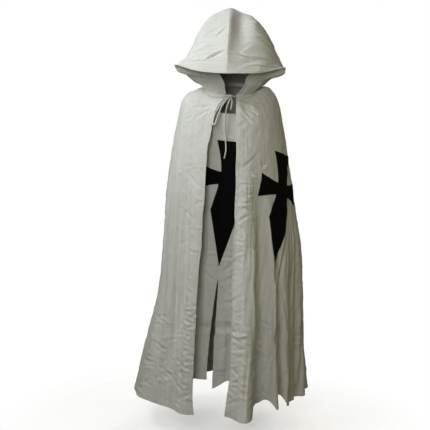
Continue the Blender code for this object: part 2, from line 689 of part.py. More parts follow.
def make_cross(name, outer, normals, at):
    """A cross of thin black cloth on a panel: the panel's own points moved out by the gap,
    cut to the outline along the direction that the cross faces."""
    part = part_under_cross(outer, at)
    lift = SEAM_GAP + PATCH_WALL
    patch = wall(name, outer[part], normals[part], -SEAM_GAP, "black", outer_lift=lift)
    outline = cross_outline(at.foot_scale)
    cutter = prism(name + "_cutter", outline, -CUTTER_REACH, CUTTER_REACH)
    cutter.location = (at.x, at.y, at.z)
    cutter.rotation_euler = (0, math.radians(at.lean), math.radians(at.facing))
    cut(patch, cutter, "INTERSECT")


# ---------------------------------------------------------------- ties
def make_tube(name, points):
    curve = bpy.data.curves.new(name, "CURVE")
    curve.dimensions = "3D"
    curve.bevel_depth = CORD_RADIUS
    curve.bevel_resolution = 1
    curve.use_fill_caps = True
    spline = curve.splines.new("POLY")
    spline.points.add(len(points) - 1)
    for slot, point in zip(spline.points, points):
        slot.co = (*point, 1)
    return add_object(name, curve, "cord")


def knot_exit(direction):
    """The two first points of a cord that leaves the knot in a direction."""
    way = unit(np.array(direction))
    surface = 1 / np.linalg.norm(way / KNOT_SIZE)
    start = np.array(KNOT_AT) + way * (surface + 1.5 * SEAM_GAP)
    return [start, start + way * EXIT_LENGTH]


def make_ties():
    """The cord from each end of the casing to the knot, the knot, a loop and two free ends."""
    for side, name in ((RIGHT, "tie_lead_right"), (LEFT, "tie_lead_left")):
        casing_end = neck_point(throat_turn(side))
        onward = unit(casing_end - neck_point(throat_turn(side) + side * 2))
        start = casing_end + onward * 2 * SEAM_GAP
        end, level = knot_exit((side, 0, 0))
        straight = (end - start) / 3
        make_tube(name, [start, start + onward * 0.003, start + straight, level, end])
    build = bmesh.new()
    bmesh.ops.create_icosphere(build, subdivisions=2, radius=1.0)
    bmesh.ops.scale(build, vec=KNOT_SIZE, verts=build.verts)
    mesh = bpy.data.meshes.new("tie_knot")
    build.to_mesh(mesh)
    build.free()
    add_object("tie_knot", mesh, "cord").location = KNOT_AT
    for name, way, points in (
        ("tie_long_end", LONG_EXIT, LONG_END),
        ("tie_short_end", SHORT_EXIT, SHORT_END),
        ("tie_loop", LOOP_EXIT, LOOP),
    ):
        start, bend = knot_exit(way)
        back = knot_exit(LOOP_RETURN) if name == "tie_loop" else []
        path = curve_points([bend, *points, *back[:0:-1]], TUBE_STEP)
        make_tube(name, [start, *path, *back[:1]])


# ---------------------------------------------------------------- build
def main():
    for old in list(bpy.data.objects):
        bpy.data.objects.remove(old)
    make_casing()
    make_cloak_panel(RIGHT, "cloak_right")
    make_cloak_panel(LEFT, "cloak_left")
    make_hood_half(RIGHT, "hood_right")
    make_hood_half(LEFT, "hood_left")
    make_cross("cloak_cross", *cloak_grid(LEFT), CLOAK_CROSS_AT)
    front_panel, front_outer, front_normals = make_surcoat(True, "surcoat_front")
    cut_slit(front_panel)
    make_cross("surcoat_cross", front_outer, front_normals, SURCOAT_CROSS_AT)
    make_surcoat(False, "surcoat_back")
    make_ties()


main()
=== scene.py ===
"""The looks of a white hooded cloak, tied at the throat, over a white surcoat with a black cross.

Every cloth piece is a thin shell on the form of its CAD node. The form's tables are the CAD's
own, and the shells add hems, seams, gathers and creases in their own sizes. Metres, +Z up,
the front faces -Y. "turn" is an angle round the wearer in degrees: 0 is the front, +90 the
wearer's left side, 180 the back. On a shell, u runs across the cloth and v down it. Only the
rows of strokes are in millimetres.
"""

import math
from collections import namedtuple

import bmesh
import bpy
import numpy as np
from mathutils import Matrix, Vector
from mathutils.bvhtree import BVHTree


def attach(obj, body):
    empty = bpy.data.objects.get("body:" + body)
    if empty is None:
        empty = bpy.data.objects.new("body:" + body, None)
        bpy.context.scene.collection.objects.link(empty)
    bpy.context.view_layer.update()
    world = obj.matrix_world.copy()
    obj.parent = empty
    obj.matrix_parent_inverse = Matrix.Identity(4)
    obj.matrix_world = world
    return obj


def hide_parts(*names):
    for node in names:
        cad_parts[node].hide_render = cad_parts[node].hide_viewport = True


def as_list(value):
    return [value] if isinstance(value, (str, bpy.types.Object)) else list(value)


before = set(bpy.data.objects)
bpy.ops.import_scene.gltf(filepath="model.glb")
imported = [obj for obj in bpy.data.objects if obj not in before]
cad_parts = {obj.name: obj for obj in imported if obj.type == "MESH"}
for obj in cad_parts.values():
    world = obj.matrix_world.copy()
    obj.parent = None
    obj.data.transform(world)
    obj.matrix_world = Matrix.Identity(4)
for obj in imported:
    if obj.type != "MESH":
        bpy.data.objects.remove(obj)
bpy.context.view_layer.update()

# ---------------------------------------------------------------- form, as in the CAD
SEAM_GAP = 0.0003
CASING_HEIGHT = 0.014
CORD_RADIUS = 0.003
HEM_DROP = 1.27
SURCOAT_DROP = 1.182
LEFT, RIGHT = 1, -1  # the wearer's sides, as signs of X

Neck = namedtuple("Neck", "half_width front_depth back_depth front_z side_z back_z late_rise")
NECK = Neck(0.112, 0.098, 0.068, -0.012, 0.036, 0.052, 6)
THROAT_EDGE = {RIGHT: -0.013, LEFT: 0.025}

Ring = namedtuple(
    "Ring",
    "front_z right_z left_z back_z late_rise right_w left_w front_d back_d right_edge left_edge",
)
CLOAK_RINGS = (
    Ring(-0.0193, 0.0287, 0.0287, 0.0447, 6, 0.112, 0.112, 0.098, 0.068, -0.013, 0.025),
    Ring(-0.034, 0.027, 0.042, 0.034, 5, 0.130, 0.136, 0.109, 0.084, -0.024, 0.028),
    Ring(-0.057, 0.015, 0.036, 0.015, 4, 0.152, 0.166, 0.122, 0.102, -0.040, 0.028),
    Ring(-0.085, 0.000, 0.005, -0.015, 3, 0.183, 0.194, 0.135, 0.120, -0.054, 0.028),
    Ring(-0.118, -0.032, -0.032, -0.052, 2, 0.203, 0.212, 0.147, 0.134, -0.064, 0.029),
    Ring(-0.175, -0.105, -0.105, -0.118, 2, 0.218, 0.231, 0.163, 0.150, -0.075, 0.032),
    Ring(-0.290, -0.235, -0.235, -0.245, 2, 0.240, 0.255, 0.186, 0.170, -0.086, 0.035),
    Ring(-0.450, -0.420, -0.420, -0.425, 2, 0.257, 0.291, 0.204, 0.192, -0.089, 0.035),
    Ring(-0.650, -0.635, -0.635, -0.635, 2, 0.266, 0.338, 0.220, 0.214, -0.097, 0.034),
    Ring(-0.860, -0.855, -0.855, -0.855, 2, 0.284, 0.362, 0.238, 0.236, -0.106, 0.037),
    Ring(-1.075, -1.068, -1.070, -1.068, 2, 0.330, 0.381, 0.256, 0.262, -0.109, 0.038),
    Ring(-1.300, -1.268, -1.292, -HEM_DROP, 2, 0.376, 0.401, 0.278, 0.290, -0.106, 0.021),
)
SET_BACK = {RIGHT: 0.010, LEFT: 0.045}
SET_BACK_RINGS = (1, 5)

Fold = namedtuple("Fold", "turn top_turn half_deg depth lift top_z growth")
CLOAK_FOLDS = (
    Fold(13, 19, 10, 0.062, -0.005, -0.20, 1.2),
    Fold(26, 28, 10, -0.066, 0.026, -0.36, 0.8),
    Fold(31, 31, 5, 0.000, 0.026, -0.80, 1.5),
    Fold(35, 35, 8, 0.016, 0.014, -0.45, 1.0),
    Fold(43, 43, 7, -0.040, 0.046, -0.50, 1.0),
    Fold(47, 47, 5, 0.000, 0.016, -0.80, 1.5),
    Fold(52, 52, 8, 0.016, 0.002, -0.50, 1.0),
    Fold(64, 62, 38, -0.064, 0.000, -0.42, 0.65),
    Fold(76, 70, 7, -0.020, 0.004, -0.50, 1.2),
    Fold(97, 95, 12, -0.040, 0.008, -0.30, 1.0),
    Fold(114, 112, 10, 0.030, 0.000, -0.30, 1.0),
    Fold(131, 128, 11, -0.055, 0.014, -0.20, 0.9),
    Fold(149, 147, 10, 0.038, -0.004, -0.25, 1.0),
    Fold(166, 164, 9, -0.050, 0.012, -0.20, 0.9),
    Fold(180, 180, 9, 0.024, 0.000, -0.25, 1.0),
    Fold(-164, -163, 10, -0.045, 0.012, -0.25, 0.9),
    Fold(-146, -146, 11, 0.036, -0.004, -0.25, 1.0),
    Fold(-127, -127, 11, -0.052, 0.014, -0.30, 1.0),
    Fold(-108, -110, 10, 0.020, 0.000, -0.35, 1.0),
    Fold(-92, -96, 9, -0.016, 0.004, -0.40, 1.0),
    Fold(-62, -66, 11, 0.014, 0.000, -0.25, 0.8),
    Fold(-41, -42, 12, -0.026, -0.009, -0.18, 0.6),
    Fold(-24, -26, 9, 0.016, 0.000, -0.30, 0.8),
)

Arch = namedtuple("Arch", "neck_turn nose lift cheek corner crown seam")
HOOD_ARCHES = (
    Arch(None, 0.008, 1.0,
         (0.062, -0.124, 0.074), (0.222, -0.104, 0.106), (0.118, -0.184, 0.078), (-0.214, 0.067)),
    Arch(36, 0.020, 1.0,
         (0.106, -0.098, 0.055), (0.225, -0.078, 0.099), (0.124, -0.152, 0.122), (-0.190, 0.120)),
    Arch(62, 0.026, 1.0,
         (0.142, -0.056, 0.050), (0.216, -0.038, 0.112), (0.128, -0.104, 0.198), (-0.146, 0.206)),
    Arch(86, 0.026, 1.0,
         (0.142, -0.006, 0.052), (0.197, 0.004, 0.144), (0.122, -0.044, 0.268), (-0.082, 0.294)),
    Arch(110, 0.034, 0.6,
         (0.122, 0.044, 0.070), (0.168, 0.054, 0.190), (0.108, 0.022, 0.318), (-0.004, 0.370)),
    Arch(134, 0.042, 0.2,
         (0.094, 0.086, 0.086), (0.122, 0.108, 0.206), (0.078, 0.096, 0.314), (0.078, 0.368)),
    Arch(157, 0.034, 0.0,
         (0.050, 0.108, 0.098), (0.062, 0.136, 0.190), (0.036, 0.140, 0.258), (0.132, 0.296)),
    Arch(180, 0.018, 0.0,
         (0.000, 0.104, 0.096), (0.000, 0.136, 0.142), (0.000, 0.149, 0.180), (0.154, 0.214)),
)
SPREAD_ROWS = (0, 2, 4)
# How wide each half of the hood is at its cheek, corner and crown, as shares of the arches'.
HOOD_SPREAD = {
    RIGHT: ((0.54, 1.00, 1.00), (0.96, 0.93, 0.93), (0.96, 0.89, 0.89)),
    LEFT: ((1.42, 1.06, 1.06), (1.045, 1.06, 1.14), (1.045, 1.14, 1.14)),
}
HOOD_COLUMNS = 16  # the CAD's columns, which give the places on the neck seam
# Small changes near the free edge: the throat's opening is a little wider, and the cheek's
# edge closes up to the brim's at the outer corners.
FREE_EDGE_ROWS = 0.9
THROAT_SPREAD = 0.011
CHEEK_RISE = 0.010
CHEEK_BACK = 0.006
BRIM_DROOP = 0.003

Level = namedtuple("Level", "z half_width front_d back_d")
SURCOAT_LEVELS = (
    Level(0.02, 0.186, 0.098, 0.088),
    Level(-0.08, 0.186, 0.112, 0.102),
    Level(-0.20, 0.180, 0.128, 0.112),
    Level(-0.40, 0.176, 0.140, 0.116),
    Level(-0.60, 0.180, 0.146, 0.124),
    Level(-0.85, 0.200, 0.158, 0.142),
    Level(-1.05, 0.218, 0.172, 0.158),
    Level(-SURCOAT_DROP, 0.228, 0.182, 0.168),
)
SURCOAT_FOLDS = (
    Fold(-62, -58, 14, -0.016, 0, -0.45, 1.0),
    Fold(-36, -36, 12, 0.012, 0, -0.40, 1.0),
    Fold(-14, -14, 9, -0.008, 0, -0.55, 1.0),
    Fold(22, 20, 12, 0.010, 0, -0.50, 1.0),
    Fold(48, 46, 13, -0.014, 0, -0.45, 1.0),
    Fold(112, 112, 14, 0.014, 0, -0.40, 1.0),
    Fold(138, 138, 14, -0.016, 0, -0.40, 1.0),
    Fold(166, 166, 14, 0.014, 0, -0.40, 1.0),
    Fold(-166, -166, 13, -0.014, 0, -0.40, 1.0),
    Fold(-138, -138, 14, 0.015, 0, -0.40, 1.0),
    Fold(-112, -112, 13, -0.012, 0, -0.40, 1.0),
)
NECKLINE_HALF_WIDTH = 0.098
NECKLINE_FRONT_Z = -0.085
NECKLINE_BACK_Z = -0.016
SHOULDER_NECK_Z = 0.0145
SHOULDER_ARM_Z = -0.008
SHOULDER_END_X = 0.166
SHOULDER_ROUND = 0.085
ARMHOLE_BOTTOM_Z = -0.235
SLIT_TOP_Z = -0.766
SLIT_HALF_WIDTH = 0.0135
SLIT_LEAN = -0.050
SLIT_LEAN_TOP_Z = -0.30
FLAP_DIP = 0.036
FLAP_DIP_TURNS = (-12.5, -9, 6)
SLIT_WARP = 0.6  # the share of the front panel over which columns bend to the slit

Cross = namedtuple(
    "Cross", "top_length side_length foot_length shoulder_drop waist top_end side_end blade"
)
CROSS = Cross(0.153, 0.118, 0.362, 0.134, 0.062, 0.120, 0.098, 0.118)
ARM_CURVE = 1.5
ARM_STEPS = 10
Placing = namedtuple("Placing", "x y z facing lean foot_scale")
SURCOAT_CROSS_AT = Placing(0.003, -0.150, -0.350, 0, 4.0, 1.0)
CLOAK_CROSS_AT = Placing(0.226, -0.093, -0.391, 40, 11.0, 0.91)
CUTTER_REACH = 0.13

KNOT_AT = (-0.002, -0.1155, -0.0130)
KNOT_SIZE = (0.0080, 0.0070, 0.0075)
LONG_EXIT = (0.15, 0.10, -0.98)
LONG_END = (
    (-0.0030, -0.1180, -0.0340),
    (-0.0090, -0.1210, -0.0500),
    (-0.0145, -0.1225, -0.0800),
    (-0.0165, -0.1250, -0.1150),
    (-0.0150, -0.1285, -0.1550),
    (-0.0115, -0.1340, -0.2000),
    (-0.0095, -0.1370, -0.2350),
    (-0.0155, -0.1395, -0.2690),
)
LOOP_EXIT = (-0.62, -0.25, -0.75)
LOOP = (
    (-0.0160, -0.1200, -0.0235),
    (-0.0300, -0.1240, -0.0300),
    (-0.0480, -0.1340, -0.0500),
    (-0.0600, -0.1460, -0.0880),
    (-0.0660, -0.1580, -0.1220),
    (-0.0610, -0.1630, -0.1360),
    (-0.0530, -0.1580, -0.1200),
    (-0.0440, -0.1470, -0.0880),
    (-0.0330, -0.1380, -0.0580),
    (-0.0210, -0.1320, -0.0390),
    (-0.0100, -0.1300, -0.0245),
)
LOOP_RETURN = (-0.15, -0.97, -0.20)
SHORT_EXIT = (0.60, -0.50, -0.62)
SHORT_END = (
    (0.0085, -0.1230, -0.0290),
    (0.0090, -0.1240, -0.0400),
    (0.0080, -0.1245, -0.0520),
    (0.0050, -0.1250, -0.0700),
)
EXIT_LENGTH = 0.0035

# ---------------------------------------------------------------- sizes of the looks
CELL = 0.0062  # the surcoat's cells
HOOD_CELL = 0.0038
CLOAK_ROW = 0.0054  # the height of the cloak's cells
CLOAK_COLUMN = {RIGHT: 0.0080, LEFT: 0.0093}  # their mean width: narrower in front
FRONT_SHARE = 0.65  # the front cells' width as a share of the mean
SHELL = 0.0009  # cotton of this weight, a little thickened
HEM_EXTRA = 0.0007  # what a folded hem adds on each face
FRONT_HEM = 0.028
CLOAK_HEM = 0.022
HOOD_HEM = 0.016
SURCOAT_HEM = 0.018
SEAM_DIP = 0.0012  # how far the cloth dips at a seam
SEAM_REACH = 0.004
STITCH_PITCH = 0.0042
STITCH_LENGTH = 0.0029
STITCH_RADIUS = 0.00035
STITCH_INSET = 0.0028  # from a hem's inner fold out to its stitched line
NECK_LENGTH = 0.34  # along half of the neck seam, over which the cloth is gathered
CASING_HALF = 0.0086
CASING_BELLY = 0.0046
CROSS_CELL = 0.0055
CROSS_LIFT = 0.0013
CROSS_SEAM = 0.0048  # from a cross's border in to its stitches
CORD_PLIES = 3
CORD_LAY = 0.013  # the length of one turn of its plies
KNOT_LAY = 0.012
# Gathers at the neck: how far one runs down, its height, what the throat adds to that and how
# far round, as a length on the cloak and a share of the seam on the hood, and their reach.
GATHER_WIDTH = 0.0055
Gathers = namedtuple("Gathers", "run height throat_height throat_round reach")
CLOAK_GATHERS = Gathers(0.10, 0.0022, 0.0036, 0.075, 0.045)
CLOAK_THROAT_REACH = 0.110
HOOD_GATHERS = Gathers(0.08, 0.0016, 0.0016, 0.15, 0.035)
EDGE_MARKS = (0.0, 0.0012, 0.004)
EDGE_SWAY = 0.0032  # how far the cloak's edges wander from the pattern's line
SWAY_REACH = 0.030
NECKLINE_HEM = 0.012
SURCOAT_HALF = 0.29  # half of a panel's width along the cloth
SURCOAT_LONG = SURCOAT_DROP - 0.05  # and its height
# Soft unevenness of the cloth: how high its waves are, and their size across and down.
CLOAK_WAVES = ((0.0016, (0.030, 0.045)), (0.0008, (0.012, 0.014)))
HOOD_WAVES = ((0.0016, (0.030, 0.040)), (0.0007, (0.012, 0.014)))
SURCOAT_WAVES = ((0.0015, (0.030, 0.045)), (0.0007, (0.012, 0.014)))
SLOW_WAVE = (0.0022, (0.070, 0.300))
# Seeds of the random draws, and the points on which lengths are measured.
CLOAK_SEED, HOOD_SEED, CASING_SEED, SURCOAT_SEED = 41, 61, 5, 81
FINE_ROWS = 500
FINE_COLUMNS = 1600
MEASURED_SHARE = 0.3  # the column along which the cloak's rows are spaced
CAMERA_AT = (-0.0046, -3.3819, -0.254)
CAMERA_TURN = (90 - 4.355, 0.72, 1.84)  # pitch, yaw and roll in degrees
CAMERA_LENS = 66.21
FLOOR_Z = -1.41
WORLD_LIGHT = (0.04, 0.17)  # from below and from above
WORLD_COLOUR = (1.0, 0.94, 0.66)
SIDE_NAMES = {RIGHT: "right", LEFT: "left"}
# How each piece is cut: its width and length, and its area.
CLOAK_CUT = {RIGHT: ((1.30, 1.38), 1.00), LEFT: ((1.66, 1.38), 1.25)}
HOOD_CUT = {RIGHT: ((0.56, 0.48), 0.18), LEFT: ((0.56, 0.48), 0.20)}
SURCOAT_CUT = ((0.62, 1.21), 0.59)


# ---------------------------------------------------------------- curves and rows
def row_values(rows, at):
    """Values between the rows of a table, on a smooth curve through them; at runs from 0."""
    table = np.array(rows, float)
    at = np.clip(np.asarray(at, float), 0.0, len(table) - 1.0)
    i = np.minimum(at.astype(int), len(table) - 2)
    t = (at - i).reshape(at.shape + (1,) * (table.ndim - 1))
    before, start = table[np.maximum(i - 1, 0)], table[i]
    end, after = table[i + 1], table[np.minimum(i + 2, len(table) - 1)]
    return (
        start
        + 0.5 * t * (end - before)
        + t**2 * (before - 2.5 * start + 2 * end - 0.5 * after)
        + t**3 * (1.5 * (start - end) + 0.5 * (after - before))
    )


def lengths_along(points):
    """How far along its line each point lies; the lines run along the axis before the last."""
    steps = np.linalg.norm(np.diff(points, axis=-2), axis=-1)
    start = np.zeros(steps.shape[:-1] + (1,))
    return np.concatenate([start, np.cumsum(steps, axis=-1)], axis=-1)


def resample(points, step):
    """Points about one step apart along a line of points. Values after the third go along."""
    along = lengths_along(points[:, :3])
    at = np.linspace(0, along[-1], max(2, round(along[-1] / step) + 1))
    return np.stack([np.interp(at, along, column) for column in points.T], axis=1)


def curve_points(points, step):
    return resample(row_values(points, np.linspace(0, len(points) - 1, 400)), step)


def unit(vectors):
    return vectors / np.maximum(np.linalg.norm(vectors, axis=-1, keepdims=True), 1e-9)


def smooth_step(value):
    value = np.clip(value, 0.0, 1.0)
    return value * value * (3 - 2 * value)


def ring_point(turn, half_width, front_d, back_d):
    s, c = np.sin(np.radians(turn)), np.cos(np.radians(turn))
    return half_width * s, -np.where(c > 0, front_d, back_d) * c


def ring_normal(turn, half_width, front_d, back_d):
    s, c = np.sin(np.radians(turn)), np.cos(np.radians(turn))
    x, y = s / half_width, -c / np.where(c > 0, front_d, back_d)
    length = np.hypot(x, y)
    return x / length, y / length


def ring_height(turn, front_z, side_z, back_z, late_rise):
    s, c = np.sin(np.radians(turn)), np.cos(np.radians(turn))
    share = np.abs(s) ** np.where(c > 0, late_rise, 2)
    return np.where(c > 0, front_z, back_z) * (1 - share) + side_z * share


def fold_push(folds, turn, z, hem_z):
    """How far the folds move the cloth outward and up at a turn and height."""
    push, lift = np.zeros_like(z), np.zeros_like(z)
    for fold in folds:
        down = np.maximum((fold.top_z - z) / (fold.top_z - hem_z), 0.0)
        centre = fold.top_turn + (fold.turn - fold.top_turn) * np.minimum(down, 1.0)
        away = np.clip(((turn - centre + 180) % 360 - 180) / fold.half_deg, -1, 1)
        share = down**fold.growth * np.cos(0.5 * np.pi * away) ** 2
        push += fold.depth * share
        lift += fold.lift * share
    return push, lift


# ---------------------------------------------------------------- neck seam
def neck_points(turn, rise=0.0):
    """Points of the neck seam's line, moved up by rise."""
    x, y = ring_point(turn, NECK.half_width, NECK.front_depth, NECK.back_depth)
    z = ring_height(turn, NECK.front_z, NECK.side_z, NECK.back_z, NECK.late_rise)
    return np.stack([x, y, z + rise], axis=-1)


def throat_turn(side):
    return math.degrees(math.asin(THROAT_EDGE[side] / NECK.half_width))


def neck_turns(side):
    """The turns at which the hood's columns meet the neck seam, from the throat to the nape."""
    first = abs(throat_turn(side))
    turns = [first if arch.neck_turn is None else arch.neck_turn for arch in HOOD_ARCHES]
    return side * row_values(turns, np.linspace(0, len(turns) - 1, HOOD_COLUMNS))


# ---------------------------------------------------------------- cloak
def cloak_points(side, rows, shares):
    """Points of the cloak's outer face at rows (rings from the neck down) and shares of the
    way from the front edge to the centre back. Both may be grids."""
    table = np.moveaxis(row_values(CLOAK_RINGS, rows), -1, 0)
    ring = Ring(*table)
    if side == LEFT:
        width, side_z, edge_x = ring.left_w, ring.left_z, ring.left_edge
    else:
        width, side_z, edge_x = ring.right_w, ring.right_z, ring.right_edge
    edge = np.degrees(np.arcsin(edge_x / width))
    turn = edge + (side * 180 - edge) * shares
    z = ring_height(turn, ring.front_z, side_z, ring.back_z, ring.late_rise)
    push, lift = fold_push(CLOAK_FOLDS, turn, z, -HEM_DROP)
    set_in = smooth_step((rows - SET_BACK_RINGS[0]) / (SET_BACK_RINGS[1] - SET_BACK_RINGS[0]))
    set_back = SET_BACK[side] * set_in
    oval = (width, ring.front_d + set_back, ring.back_d - set_back)
    x, y = ring_point(turn, *oval)
    nx, ny = ring_normal(turn, *oval)
    return np.stack([x + nx * push, y + ny * push + set_back, z + lift], axis=-1)


# ---------------------------------------------------------------- hood
def hood_sway(point, along):
    """The hood's seam lies a little towards the wearer's right, more so at its front."""
    weight = smooth_step((point[..., 2] - 0.03) / 0.03) * np.minimum(along, 1.0)
    return weight * (-0.009 + 0.040 * np.minimum(point[..., 1], 0.0))


def hood_line(row, side):
    """The knots of one arch, from the neck seam to the centre seam."""
    spread = [(np.interp(row, SPREAD_ROWS, shares), 1, 1) for shares in HOOD_SPREAD[side]]
    knots = []
    for arch in HOOD_ARCHES:
        start = np.zeros(3)
        cheek, corner, crown = np.array((arch.cheek, arch.corner, arch.crown)) * spread
        outward, inward = unit(corner - cheek), unit(crown - corner)
        back = arch.nose * (inward - outward) / 2
        over = arch.nose * unit(inward + outward + (0, 0, arch.lift))
        seam = (0.0, *arch.seam)
        knots.append([start, cheek, corner + back - over, corner, corner + back + over, crown, seam])
    line = row_values(np.array(knots), row)
    rows = np.linspace(0, len(HOOD_ARCHES) - 1, HOOD_COLUMNS)
    turn = np.interp(row, rows, abs(neck_turns(side)))
    line[0] = neck_points(turn, CASING_HEIGHT / 2 - SEAM_GAP)
    return line


def hood_points(side, row, alongs):
    """Points along one arch: row counts the arches back from the free edge, and along counts
    an arch's knots from the neck seam to the centre seam."""
    points = row_values(hood_line(row, side), alongs)
    near_edge = smooth_step(1 - row / FREE_EDGE_ROWS)
    cheek = np.clip(alongs, 0.0, 1.0)
    points[:, 0] += THROAT_SPREAD * np.sin(np.pi * cheek) * near_edge
    rise = smooth_step((alongs - 1.1) / 0.7) * smooth_step((3.0 - alongs) / 0.5)
    points[:, 1] += CHEEK_BACK * rise * near_edge
    points[:, 2] += CHEEK_RISE * rise * near_edge
    droop = smooth_step((alongs - 3.0) / 0.6) * smooth_step((5.4 - alongs) / 1.2)
    points[:, 2] -= BRIM_DROOP * droop * near_edge
    points[:, 0] = np.maximum(points[:, 0], 0.0) * side
    points[:, 0] += hood_sway(points, alongs)
    return points


# ---------------------------------------------------------------- surcoat
def shoulder_z(x):
    along = (np.abs(x) - NECKLINE_HALF_WIDTH) / (SHOULDER_END_X - NECKLINE_HALF_WIDTH)
    return SHOULDER_NECK_Z + (SHOULDER_ARM_Z - SHOULDER_NECK_Z) * along


def surcoat_level(z):
    heights = [-level.z for level in SURCOAT_LEVELS]
    at = np.interp(-z, heights, range(len(heights)))
    return Level(*np.moveaxis(row_values(SURCOAT_LEVELS, at), -1, 0))


def surcoat_top(share, neckline_z):
    """The height of the neckline or shoulder line at a share across the panel."""
    x = np.abs(share) * SHOULDER_END_X
    climb = 1 - np.sqrt(1 - np.minimum(x / NECKLINE_HALF_WIDTH, 1.0) ** 3)
    neckline = neckline_z + (SHOULDER_NECK_Z - neckline_z) * climb
    return np.where(x >= NECKLINE_HALF_WIDTH, shoulder_z(x), neckline)


def drawn_up(downs):
    """Shares of the way down a panel, with its rows closer together at the top."""
    return 0.35 * downs + 0.65 * downs**1.8


def side_turn(share, z):
    """The turn of a column: straight below the armhole, and drawn in above it."""
    above = smooth_step((z - ARMHOLE_BOTTOM_Z) / (SHOULDER_ARM_Z - ARMHOLE_BOTTOM_Z))
    edge_x = SHOULDER_END_X - 0.030 * np.sin(np.pi * above)
    full = 90 * share
    drawn = np.degrees(np.arcsin(share * np.minimum(1.0, edge_x / surcoat_level(z).half_width)))
    return full + (drawn - full) * smooth_step((z - ARMHOLE_BOTTOM_Z) / 0.05)


def slit_x(z):
    down = (SLIT_LEAN_TOP_Z - z) / (SLIT_LEAN_TOP_Z + SURCOAT_DROP)
    return SURCOAT_CROSS_AT.x + SLIT_LEAN * smooth_step(down)


def slit_half_width(z):
    down = np.clip((SLIT_TOP_Z - z) / (SLIT_TOP_Z + SURCOAT_DROP), 0.0, 1.0)
    return SLIT_HALF_WIDTH * down**0.5


def slit_turn(z, lips):
    """The turn of a lip of the slit: its edge, or above the slit the line down to it."""
    lip_x = slit_x(z) + lips * slit_half_width(z)
    return np.degrees(np.arcsin(lip_x / surcoat_level(z).half_width))


def near_slit(shares):
    """How far a column of the front panel bends towards the slit."""
    return np.maximum(1 - np.abs(shares) / SLIT_WARP, 0.0) ** 2


def surcoat_points(front, shares, downs, lips):
    """Points of the surcoat's outer face. lips says on which side of the slit a column lies."""
    neckline_z = NECKLINE_FRONT_Z if front else NECKLINE_BACK_Z
    top_z = surcoat_top(shares, neckline_z)
    z = top_z + (-SURCOAT_DROP - top_z) * drawn_up(downs)
    if front:
        hem_turn = 90 * shares + slit_turn(-SURCOAT_DROP, lips) * near_slit(shares)
        dip = FLAP_DIP * np.interp(hem_turn, FLAP_DIP_TURNS, (0, 1, 0))
        z = z - dip * smooth_step((SLIT_TOP_Z - z) / (SLIT_TOP_Z + SURCOAT_DROP))
    below = np.clip((shoulder_z(np.abs(shares) * SHOULDER_END_X) - z) / SHOULDER_ROUND, 0, 1)
    fullness = np.sqrt(1 - (1 - below) ** 2)
    level = surcoat_level(z)
    turn = side_turn(shares, z)
    if front:
        turn = turn + slit_turn(z, lips) * near_slit(shares)
    else:
        turn = 180 - turn
    push, _ = fold_push(SURCOAT_FOLDS, turn, z, -SURCOAT_DROP)
    x, y = ring_point(turn, level.half_width, level.front_d, level.back_d)
    nx, ny = ring_normal(turn, level.half_width, level.front_d, level.back_d)
    return np.stack([x + nx * push, (y + ny * push) * fullness, z], axis=-1)


# ---------------------------------------------------------------- grids of cloth
def places(total, count, start_marks, end_marks, first=1.0):
    """Distances from 0 to total: the marks near both ends, and count more between them. first
    is the first of those steps as a share of the mean step."""
    share = np.linspace(0, 1, count)
    share = share * (first + (1 - first) * share)
    middle = start_marks[-1] + (total - end_marks[-1] - start_marks[-1]) * share
    tail = [total - mark for mark in reversed(end_marks[:-1])]
    return np.concatenate([start_marks[:-1], middle, tail])


def hem_marks(hem, step=0.005):
    """Distances from an edge that show a hem: its rounded edge, its width and its stitched line."""
    inside = np.arange(0.0035 + step, hem - 0.004, step)
    ridge = (hem - 0.0036, hem - 0.0022, hem - 0.0008, hem + 0.0008, hem + 0.003, hem + 0.007)
    return (0.0, 0.0011, 0.0035, *inside, *ridge)


def grid_index(points):
    return np.arange(points.shape[0] * points.shape[1]).reshape(points.shape[:2])


def grid_faces(index):
    faces = np.stack([index[:-1, :-1], index[1:, :-1], index[1:, 1:], index[:-1, 1:]], axis=-1)
    return faces.reshape(-1, 4)


def tube_faces(points):
    """The outward faces of a grid whose columns run round a tube."""
    index = grid_index(points)
    return grid_faces(np.concatenate([index, index[:, :1]], axis=1))[:, ::-1]


def face_normals(points, faces):
    corners = points[faces]
    return np.cross(corners[:, 2] - corners[:, 0], corners[:, -1] - corners[:, 1])


def vertex_normals(points, faces):
    normals = face_normals(points, faces)
    total = np.zeros_like(points)
    for k in range(faces.shape[1]):
        for axis in range(3):
            total[:, axis] += np.bincount(faces[:, k], normals[:, axis], len(points))
    return unit(total)


def new_mesh(name, points, faces, uv=None):
    mesh = bpy.data.meshes.new(name)
    mesh.from_pydata(points.tolist(), [], [face.tolist() for part in faces for face in part])
    mesh.shade_smooth()
    if uv is not None:
        corners = np.empty(len(mesh.loops), np.int32)
        mesh.loops.foreach_get("vertex_index", corners)
        layer = mesh.uv_layers.new(name="UVMap")
        layer.uv.foreach_set("vector", uv[corners].astype(np.float32).ravel())
    return mesh


